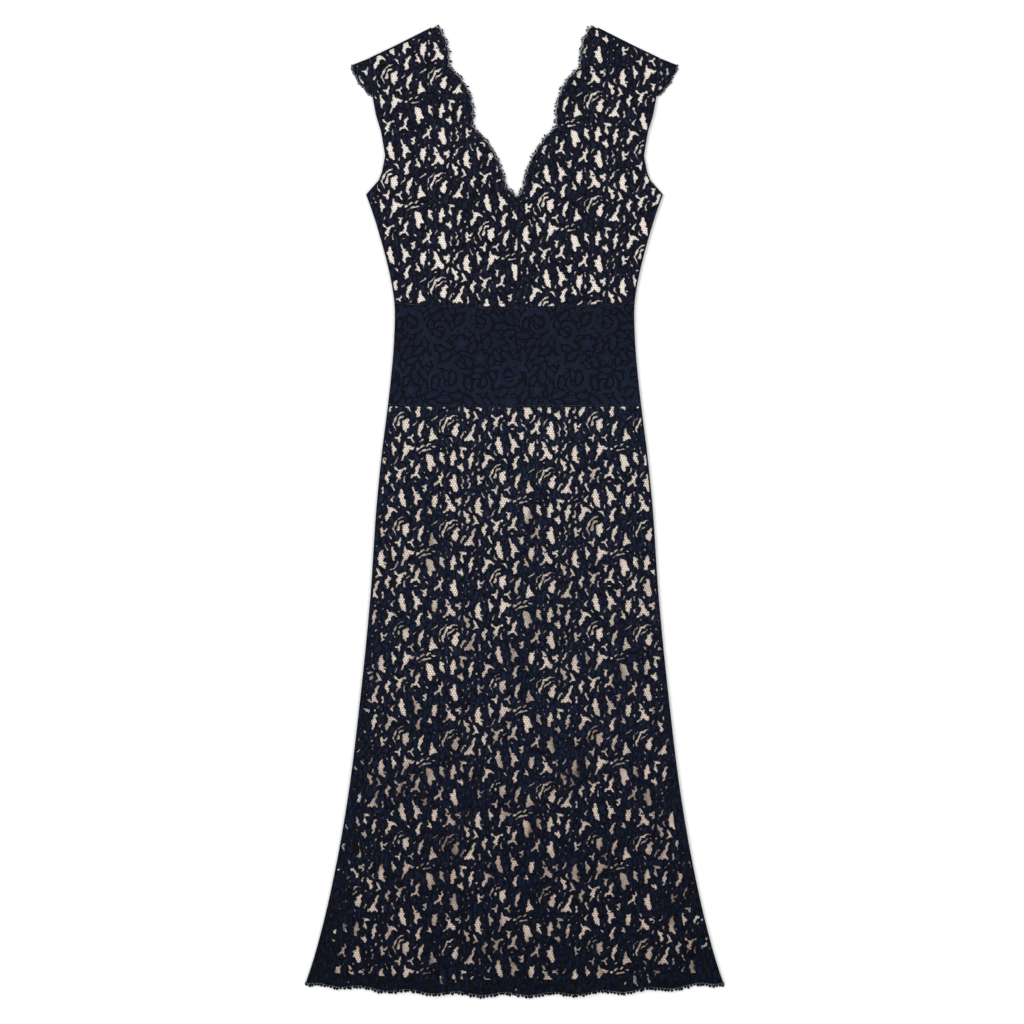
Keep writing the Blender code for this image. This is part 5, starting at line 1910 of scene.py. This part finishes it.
@dataclass
class LashedEdge:
    """A lashed lace edge: thin loops of thread that stand out along a line, with thicker ends, in bunches."""

    pitch: float = 0.0022
    reach: Pair = (0.0018, 0.0034)
    bunch: float = 0.0170
    lean: float = 0.6
    thread: float = 0.00055
    end_thread: float = 0.0012
    wide: Pair = (0.7, 1.1)
    uneven: Pair = (0.5, 1.2)
    # how far the roots are sunk, where a loop starts and ends in half turns, heights as a share of the widths
    sunk: float = 0.0006
    turns: Pair = (-0.15, 1.15)
    heights: Pair = (0.5, 0.4)
    steps: int = 9
    seed: int = 5

    def along(self, line: Points, height: Surface) -> tuple[Points, Array]:
        """Make the loops along a line, on the right of its direction.

        Args:
            line: The edge's points.
            height: The height that the loops lie at.

        Returns:
            Corners and faces.
        """
        rng = np.random.default_rng(self.seed)
        roots = evenly(line, self.pitch)
        out = outward(roots)
        along = np.stack([-out[:, 1], out[:, 0]], 1)
        loops = []
        for number, (root, away, ahead) in enumerate(zip(roots, out, along)):
            swing = abs(math.sin(math.pi * number * self.pitch / self.bunch + 0.4 * math.sin(number * 0.37)))
            long = (self.reach[0] + self.reach[1] * swing) * rng.uniform(*self.uneven)
            lean, wide = self.lean * rng.uniform(-1, 1), self.pitch * rng.uniform(*self.wide)
            turn = np.linspace(self.turns[0] * math.pi, self.turns[1] * math.pi, self.steps)
            rise = (0.5 - 0.5 * np.cos(np.linspace(0, 2 * math.pi, self.steps))) * long
            aside = np.cos(turn) * wide / 2
            loops.append(root + away * (rise - self.sunk)[:, None] + ahead * (aside + lean * rise)[:, None])
        middle = self.steps // 2
        ends = [loop[middle - 2:middle + 3] for loop in loops]
        thin = CordWork(width=self.thread, rise=self.thread * self.heights[0], buried=0.0)
        thick = CordWork(width=self.end_thread, rise=self.end_thread * self.heights[1], buried=0.0)
        loop_corners, loop_faces = thin.along(loops, height, closed=False)
        end_corners, end_faces = thick.along(ends, height, closed=False)
        faces = np.concatenate([loop_faces, end_faces + len(loop_corners)])
        return np.concatenate([loop_corners, end_corners]), faces


# ---- The gown's sub-assemblies -----------------------------------------------------------------------------
@dataclass
class Back:
    """The back panels, which the front lies on."""

    cut: GownCut
    chart: LaceChart
    thickness: float = 0.0009
    origin: Pair = (0.0915, 0.0475)
    hem_rise: float = 0.0036
    outline_pitch: float = 0.008
    seam_clear: float = 0.0006
    # by the distance below the hem's corner
    denser_hem: Growth = Growth(-0.0002, 0.0016, -0.05, 0.02)

    def flat(self, x: Array, y: Array) -> Array:
        """Return the height of the back's underside."""
        return np.zeros(np.shape(x))

    def denser(self, x: Array, y: Array) -> Array:
        """Return how much denser the lace is than its chart: more so at the hem."""
        return self.denser_hem.at(self.cut.drop(y) - self.cut.hem_corner)

    def panel(self, name: str, outline: Points) -> LacePanel:
        """Return one of the back's lace panels, coarser than the front's.

        Args:
            name: The piece's name.
            outline: Its outline.

        Returns:
            The panel.
        """
        return LacePanel(name, self.chart, outline, self.origin, self.flat, self.denser, step=0.0015,
                         thickness=self.thickness, puff=0.0003, finest=1.0e-6, least_gap=5e-6,
                         least_island=20e-6, inner_pitch=0.012)

    def build(self, finishes: Finishes) -> None:
        """Build the back's skirt, waistband and bodice.

        Args:
            finishes: The gown's finishes.
        """
        lace = finishes.back_lace.material()
        cut, pitch = self.cut, self.outline_pitch
        outline = inset(cut.skirt_outline(pitch, self.hem_rise), self.seam_clear)
        skirt = self.panel("back_skirt_cloth", outline).build(lace)
        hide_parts("back_skirt")
        for side in Side:
            neck = column(cut.back_neck, 1), cut.y(column(cut.back_neck, 0))
            neck = evenly(np.stack([side.value * neck[0], neck[1]], 1), pitch)
            outline = inset(cut.bodice_outline(side, neck, pitch), self.seam_clear)
            bodice = self.panel(f"back_bodice_cloth_{side.word}", outline).build(lace)
            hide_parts(f"back_bodice_{side.word}")
        outline = inset(cut.band_outline(pitch), self.seam_clear)
        corners, triangles = filled(outline, [], np.zeros((0, 2)))
        low = self.flat(corners[:, 0], corners[:, 1])
        band = make_piece("back_waistband_cloth", *shell(corners, triangles, low, low + self.thickness), lace)
        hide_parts("back_waistband")


@dataclass
class Linings:
    """The nude linings of the front bodice and skirt."""

    cut: GownCut
    thickness: float = 0.0010
    pitch: float = 0.007
    outline_pitch: float = 0.010
    skirt_clear: float = 0.0003
    bodice_clear: float = 0.0022
    # the share of the painted valley shade that lies everywhere, growing down the skirt by the drop
    lower_shade: Growth = Growth(0.0, 0.95, 0.60, 0.55)

    def panel(self, name: str, outline: Points, finish: Material) -> Piece:
        """Build one lining as a thin shell that follows the folds.

        Args:
            name: The piece's name.
            outline: Its outline.
            finish: Its material.

        Returns:
            The piece.
        """
        inner = staggered(outline, (self.pitch, self.pitch * 1.6))
        inner = inner[distance_inside(outline, inner) > self.pitch * 0.4]
        corners, triangles = filled(outline, [], inner)
        x, y = corners[:, 0], corners[:, 1]
        low = self.cut.lining_height(x, y)
        shell_corners, faces = shell(corners, triangles, low, low + self.thickness)
        # painted shade on the lining: in the folds' valleys, and more and more everywhere down the skirt
        valley = np.maximum(self.cut.valley(x, y), self.lower_shade.at(self.cut.drop(y)))
        return make_piece(name, shell_corners, faces, finish, {"valley": np.concatenate([valley, valley])})

    def build(self, finishes: Finishes) -> None:
        """Build the linings.

        Args:
            finishes: The gown's finishes.
        """
        satin = finishes.satin.material()
        cut = self.cut
        outline = inset(cut.lining_outline(self.outline_pitch), self.skirt_clear)
        skirt = self.panel("front_skirt_lining_cloth", outline, satin)
        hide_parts("front_skirt_lining")
        for side in Side:
            neck = evenly(cut.front_neck(side, 6), self.outline_pitch)
            outline = inset(cut.bodice_outline(side, neck, self.outline_pitch), self.bodice_clear)
            bodice = self.panel(f"front_bodice_lining_cloth_{side.word}", outline, satin)
            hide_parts(f"front_bodice_lining_{side.word}")


@dataclass
class FrontLace:
    """The front's lace panels with their net, cords and lashed edges."""

    cut: GownCut
    chart: LaceChart
    skirt_origin: Pair = (0.030, -0.012)
    left_origin: Pair = (0.012, 0.040)
    right_origin: Pair = (0.104, 0.085)
    cords: CordWork = field(default_factory=CordWork)
    skirt_net: NetWork = field(default_factory=NetWork)
    bodice_net: NetWork = field(default_factory=lambda: NetWork(thread=0.00031))
    lashes: LashedEdge = field(default_factory=LashedEdge)
    picots: LashedEdge = field(default_factory=lambda: LashedEdge(
        pitch=0.0050, reach=(0.0042, 0.0016), bunch=0.0180, lean=0.25, thread=0.0016, end_thread=0.0026,
        wide=(0.48, 0.62), uneven=(0.75, 1.2), seed=8))
    # width, height and pitch of points of the bumps along the neck
    neck_bumps: Triple = (0.0170, 0.0032, 0.0014)
    hem_rise: float = 0.0036
    picot_height: float = 0.0024
    lash_rise: float = 0.0003
    outline_pitch: float = 0.005
    seam_clear: float = 0.0002
    cord_inset: float = 0.0011
    least_loop: float = 5e-6
    # by the drop, by the distance below the hem, and by the distance from the neck's edge, turned round
    denser_down: Growth = Growth(0.00015, 0.0003, 0.70, 0.65)
    denser_hem: Growth = Growth(0.0, 0.0003, -0.034, 0.008)
    denser_neck: Growth = Growth(0.00025, 0.0006, -0.016, 0.009)

    def skirt_denser(self, x: Array, y: Array) -> Array:
        """Return how much denser the skirt lace is than its chart: more so down the skirt."""
        drop = self.cut.drop(y)
        return self.denser_down.at(drop) + self.denser_hem.at(drop - self.cut.hem(x))

    def bodice_denser(self, neck: Points) -> Surface:
        """Return how much denser the bodice lace is than its chart: more so along the neck's edge.

        Args:
            neck: The points of the neck's edge.

        Returns:
            A function of the place.
        """
        line = evenly(neck, 0.006)

        def denser(x: Array, y: Array) -> Array:
            """Return how much denser the lace is at a place."""
            nearest = np.min([np.hypot(x - px, y - py) for px, py in line], axis=0)
            return self.denser_neck.at(-nearest)

        return denser

    def build(self, finishes: Finishes) -> None:
        """Build the lace, then the net, cords and lashed edges on it.

        Args:
            finishes: The gown's finishes.
        """
        cut = self.cut
        lace, cord = finishes.lace.material(), finishes.cord.material()
        net, lash = finishes.net.material(), finishes.lash.material()
        outline = inset(cut.skirt_outline(self.outline_pitch, self.hem_rise), self.seam_clear)
        skirt = LacePanel("front_skirt_lace_cloth", self.chart, outline, self.skirt_origin,
                          cut.skirt_lace_height, self.skirt_denser)
        piece = skirt.build(lace)
        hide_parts("front_skirt_lace")
        self.dress("skirt", skirt, cord, net, [self.hem_picots(lash)])
        for side, origin in ((Side.LEFT, self.left_origin), (Side.RIGHT, self.right_origin)):
            neck = cut.front_neck(side, 12)
            downwards = 1 if side is Side.RIGHT else -1
            edge = scalloped(neck[::downwards], *self.neck_bumps)
            outline = cut.bodice_outline(side, edge[::downwards], self.outline_pitch)
            outline = inset(outline, self.seam_clear)
            panel = LacePanel(f"front_bodice_lace_cloth_{side.word}", self.chart, outline, origin,
                              cut.bodice_lace_height, self.bodice_denser(neck))
            piece = panel.build(lace)
            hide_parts(f"front_bodice_lace_{side.word}")
            loops = listed(self.lashes.along(edge, self.lash_height))
            fringe = make_piece(f"neck_lashes_{side.word}", *loops, lash)
            self.dress(f"bodice_{side.word}", panel, cord, net, [fringe])

    def hem_picots(self, lash: Material) -> Piece:
        """Make the loops along the hem.

        Args:
            lash: The loops' material.

        Returns:
            The piece.
        """
        half = self.cut.side_seam[-1][1] - 0.002
        hem = self.cut.seam_line(-half, half, lambda x: self.cut.hem(x) - self.hem_rise, 0.003)
        loops = self.picots.along(hem, lambda x, y: np.full(x.shape, self.picot_height))
        fringe = make_piece("hem_picots", *listed(loops), lash)
        return fringe

    def lash_height(self, x: Array, y: Array) -> Array:
        """Return the height that the neck's lashes lie at."""
        return self.cut.bodice_lace_height(x, y) + self.lash_rise

    def dress(self, name: str, panel: LacePanel, cord: Material,
              net: Material, edges: list[Piece]) -> None:
        """Args:
            name: The panel's short name.
            panel: The panel.
            cord: The cords' material.
            net: The net's material.
            edges: The lashed edges that are sewn to it; not used.
        """
        lines = panel.lines_at(self.cord_inset, panel.finest)
        lines = [line for line in lines if abs(signed_area(line)) > self.least_loop]
        cords = make_piece(f"{name}_cords", *listed(self.cords.along(lines, panel.top, closed=True)), cord)
        work = self.skirt_net if name == "skirt" else self.bodice_net
        mesh = make_piece(f"{name}_net", *listed(work.in_gaps(panel)), net)


def listed(part: tuple[Points, Array]) -> tuple[Points, list[Array]]:
    """Return corners and one lot of faces as make_piece takes them."""
    return part[0], [part[1]]


@dataclass
class Waistband:
    """The corded waistband: raised leaves and scrolls with cords along their edges, on a plain ground."""

    cut: GownCut
    chart: BandChart
    origin: Pair = (0.045, 0.090)
    low: float = 0.0018
    ground: float = 0.0043
    rise: float = 0.0006
    pitch: float = 0.0013
    outline_pitch: float = 0.003
    seam_clear: float = 0.0002
    # how far inside the motifs the cords run, how deep a part may be hidden, the least half width for a vein
    cord_levels: Triple = (0.0005, 0.0004, 0.0026)
    # how far the cords stay inside the waistband, the least length of a cord there
    cord_clear: Pair = (0.0012, 0.002)
    # how much the painted groove shadow shows, its distance from the motifs and its half width
    groove_shape: Pair = (0.8, 0.0007)
    cords: CordWork = field(default_factory=lambda: CordWork(width=0.0013, rise=0.0005))

    def relief(self, x: Array, y: Array) -> Array:
        """Return how far the applique stands out at a place, from 0 to 1.

        Args:
            x, y: The places.

        Returns:
            A share for each place.
        """
        first, second = self.chart.nearest
        near = self.chart.sample(first, x, y, self.origin)
        seam = near - self.chart.sample(second, x, y, self.origin)
        return smooth_step(near / 0.0012 + 0.4) * (0.5 + 0.5 * smooth_step(seam / 0.001))

    def groove_shadow(self, x: Array, y: Array) -> Array:
        """Return how much a place lies in the shadow just outside the applique, from 0 to 1, painted darker
        on the cloth.
        """
        near, (shown, away) = self.chart.sample(self.chart.nearest[0], x, y, self.origin), self.groove_shape
        return shown * np.exp(-(((near + away) / away) ** 2))

    def top(self, x: Array, y: Array) -> Array:
        """Return the height of the waistband's top."""
        return self.ground + self.rise * self.relief(x, y)

    def build(self, finishes: Finishes) -> None:
        """Build the waistband and its cords.

        Args:
            finishes: The gown's finishes.
        """
        outline = inset(self.cut.band_outline(self.outline_pitch), self.seam_clear)
        inner = staggered(outline, (self.pitch, self.pitch * TRIANGLE_HEIGHT))
        inner = inner[distance_inside(outline, inner) > self.pitch * 0.5]
        corners, triangles = filled(outline, [], inner)
        x, y = corners[:, 0], corners[:, 1]
        swell = self.relief(x, y)
        rim_corners, rim_triangles = filled(outline, [], np.zeros((0, 2)))
        count = len(corners)
        edge = np.arange(len(outline))
        after = np.roll(edge, -1)
        walls = np.stack([edge, count + edge, count + after, after], 1)
        all_corners = np.concatenate([
            np.column_stack([corners, self.ground + self.rise * swell]),
            np.column_stack([rim_corners, np.full(len(rim_corners), self.low)]),
        ])
        faces = [triangles, rim_triangles[:, ::-1] + count, walls]
        # the groove value paints a shadow on the ground just outside the motifs
        values = {"swell": np.concatenate([swell, np.zeros(len(rim_corners))]),
                  "groove_shadow": np.concatenate([self.groove_shadow(x, y), np.zeros(len(rim_corners))])}
        ground = finishes.band_ground.material()
        band = make_piece("front_waistband_cloth", all_corners, faces, ground, values)
        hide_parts("front_waistband")
        cords = make_piece("waistband_cords", *listed(self.cord_work(outline)), finishes.band_cord.material())

    def cord_work(self, outline: Points) -> tuple[Points, Array]:
        """Repeat the chart's cords over the waistband.

        Args:
            outline: The waistband's outline.

        Returns:
            Corners and faces.
        """
        size = np.array([self.chart.width, self.chart.height])
        first = np.floor((outline.min(0) - self.origin) / size).astype(int) - 1
        last = np.ceil((outline.max(0) - self.origin) / size).astype(int) + 1
        lines = self.chart.cord_lines(*self.cord_levels)
        laid = []
        for i in range(first[0], last[0]):
            for j in range(first[1], last[1]):
                for line in lines:
                    moved = line + self.origin + np.array([i, j]) * size
                    keep = distance_inside(outline, moved) > self.cord_clear[0]
                    laid += runs_of(moved, keep, self.cord_clear[1])
        return self.cords.along(laid, self.top, closed=False)


@dataclass
class Caps:
    """The cap sleeves, folded over the shoulder line, with a scalloped and lashed outer edge."""

    cut: GownCut
    chart: LaceChart
    tip: Pair = (0.2519, 0.059)
    end: float = 0.107
    start: float = 0.048
    scallops: int = 3
    scallop_depth: float = 0.0022
    bulge: float = 0.004
    low_layer: float = 0.0
    high_layer: float = 0.0019
    lash_height: float = 0.0021
    seam_clear: float = 0.0004
    origin: Pair = (0.021, 0.070)
    denser: float = 0.0003
    lashes: LashedEdge = field(
        default_factory=lambda: LashedEdge(reach=(0.0014, 0.0020), bunch=0.0120, seed=11))

    def outer_edge(self) -> Points:
        """Return the left cap's outer edge, from its tip to the armhole.

        Returns:
            The edge's points.
        """
        rows = column(self.cut.armhole, 0), column(self.cut.armhole, 1)
        tip = np.array([-self.tip[0], self.cut.y(self.tip[1])])
        end = np.array([-float(np.interp(self.end, *rows)), self.cut.y(self.end)])
        share = np.linspace(0, 1, 8 * self.scallops + 1)[:, None]
        out = np.array([end[1] - tip[1], tip[0] - end[0]]) / np.hypot(*(end - tip))
        scallop = self.scallop_depth * np.abs(np.sin(math.pi * self.scallops * share))
        return tip + (end - tip) * share + out * (scallop + self.bulge * np.sin(math.pi * share))

    def outline(self, side: Side) -> Points:
        """Return one cap's outline.

        Args:
            side: The side.

        Returns:
            The anticlockwise outline.
        """
        rows = column(self.cut.armhole, 0), column(self.cut.armhole, 1)
        drops = np.linspace(self.end, self.start, 8)
        inner = np.stack([-np.interp(drops, *rows), self.cut.y(drops)], 1)
        return facing_round(np.concatenate([self.outer_edge(), inner[1:]]) * (-side.value, 1))

    def build(self, finishes: Finishes) -> None:
        """Build the caps, each as an upper and an under layer, for the two sides of the folded cap.

        Args:
            finishes: The gown's finishes.
        """
        lace, lash = finishes.lace.material(), finishes.lash.material()
        for side in Side:
            outline = inset(self.outline(side), self.seam_clear)
            origin = self.origin[0] * side.value, self.origin[1]
            for layer, height in (("", self.high_layer), ("_under", self.low_layer)):
                panel = LacePanel(f"cap_sleeve_cloth_{side.word}{layer}", self.chart, outline, origin,
                                  lambda x, y, h=height: np.full(x.shape, h),
                                  lambda x, y: np.full(x.shape, self.denser), border=0.0022,
                                  inner_pitch=0.003, thickness=0.0008)
                panel.build(lace)
            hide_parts(f"cap_sleeve_{side.word}")
            edge = self.outer_edge() * (-side.value, 1)
            edge = edge if side is Side.LEFT else edge[::-1]
            loops = self.lashes.along(edge, lambda x, y: np.full(x.shape, self.lash_height))
            fringe = make_piece(f"cap_lashes_{side.word}", *listed(loops), lash)


@dataclass
class Studio:
    """The floor, the soft lights and the camera straight above."""

    frame_width: float = 1.5872
    centre: Pair = (-0.0039, 0.0)
    lens: float = 120.0
    sensor: float = 36.0
    floor_size: float = 12.0
    floor_drop: float = 0.0004
    sky: float = 0.72
    # name, place, size, power
    lights: tuple = (("key", (-2.6, 1.8, 3.6), 3.0, 110.0), ("fill", (2.4, -1.0, 4.2), 3.5, 60.0))

    def build(self, finishes: Finishes) -> None:
        """Build the studio.

        Args:
            finishes: The gown's finishes.
        """
        scene = bpy.context.scene
        bpy.ops.object.select_all(action="DESELECT")
        bpy.ops.mesh.primitive_plane_add(size=self.floor_size, location=(0.0, 0.0, -self.floor_drop))
        floor = bpy.context.object
        floor.name = "floor"
        floor.data.materials.append(finishes.floor.material())
        world = bpy.data.worlds.new("studio")
        scene.world = world
        world.use_nodes = True
        background = world.node_tree.nodes["Background"]
        background.inputs["Color"].default_value = (1.0, 1.0, 1.0, 1.0)
        background.inputs["Strength"].default_value = self.sky
        for light in self.lights:
            self.light(*light)
        camera_data = bpy.data.cameras.new("camera")
        camera_data.lens = self.lens
        camera_data.sensor_width = self.sensor
        camera = bpy.data.objects.new("camera", camera_data)
        distance = self.frame_width * self.lens / self.sensor
        camera.location = (*self.centre, distance)
        scene.collection.objects.link(camera)
        scene.camera = camera
        scene.view_settings.view_transform = "Standard"

    def light(self, name: str, place: Triple, size: float, power: float) -> None:
        """Add a large soft light that looks at the gown's middle.

        Args:
            name: Its name.
            place: Its place.
            size: The length of its sides.
            power: Its power in watts.
        """
        data = bpy.data.lights.new(name, "AREA")
        data.shape = "SQUARE"
        data.size = size
        data.energy = power
        lamp = bpy.data.objects.new(name, data)
        lamp.location = place
        x, y, z = place
        lamp.rotation_euler = (math.atan2(math.hypot(x, y), z), 0.0, math.atan2(y, x) + math.pi / 2)
        bpy.context.scene.collection.objects.link(lamp)


def main() -> None:
    """Dress the gown."""
    logging.basicConfig(level=logging.INFO, format="%(message)s")
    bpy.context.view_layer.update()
    finishes, cut, chart = Finishes(), GownCut(), LaceChart()
    log.info("%d motifs in the lace's repeat", len(chart.motifs))
    Back(cut, chart).build(finishes)
    Linings(cut).build(finishes)
    FrontLace(cut, chart).build(finishes)
    Waistband(cut, BandChart()).build(finishes)
    Caps(cut, chart).build(finishes)
    Studio().build(finishes)


if __name__ == "__main__":
    main()
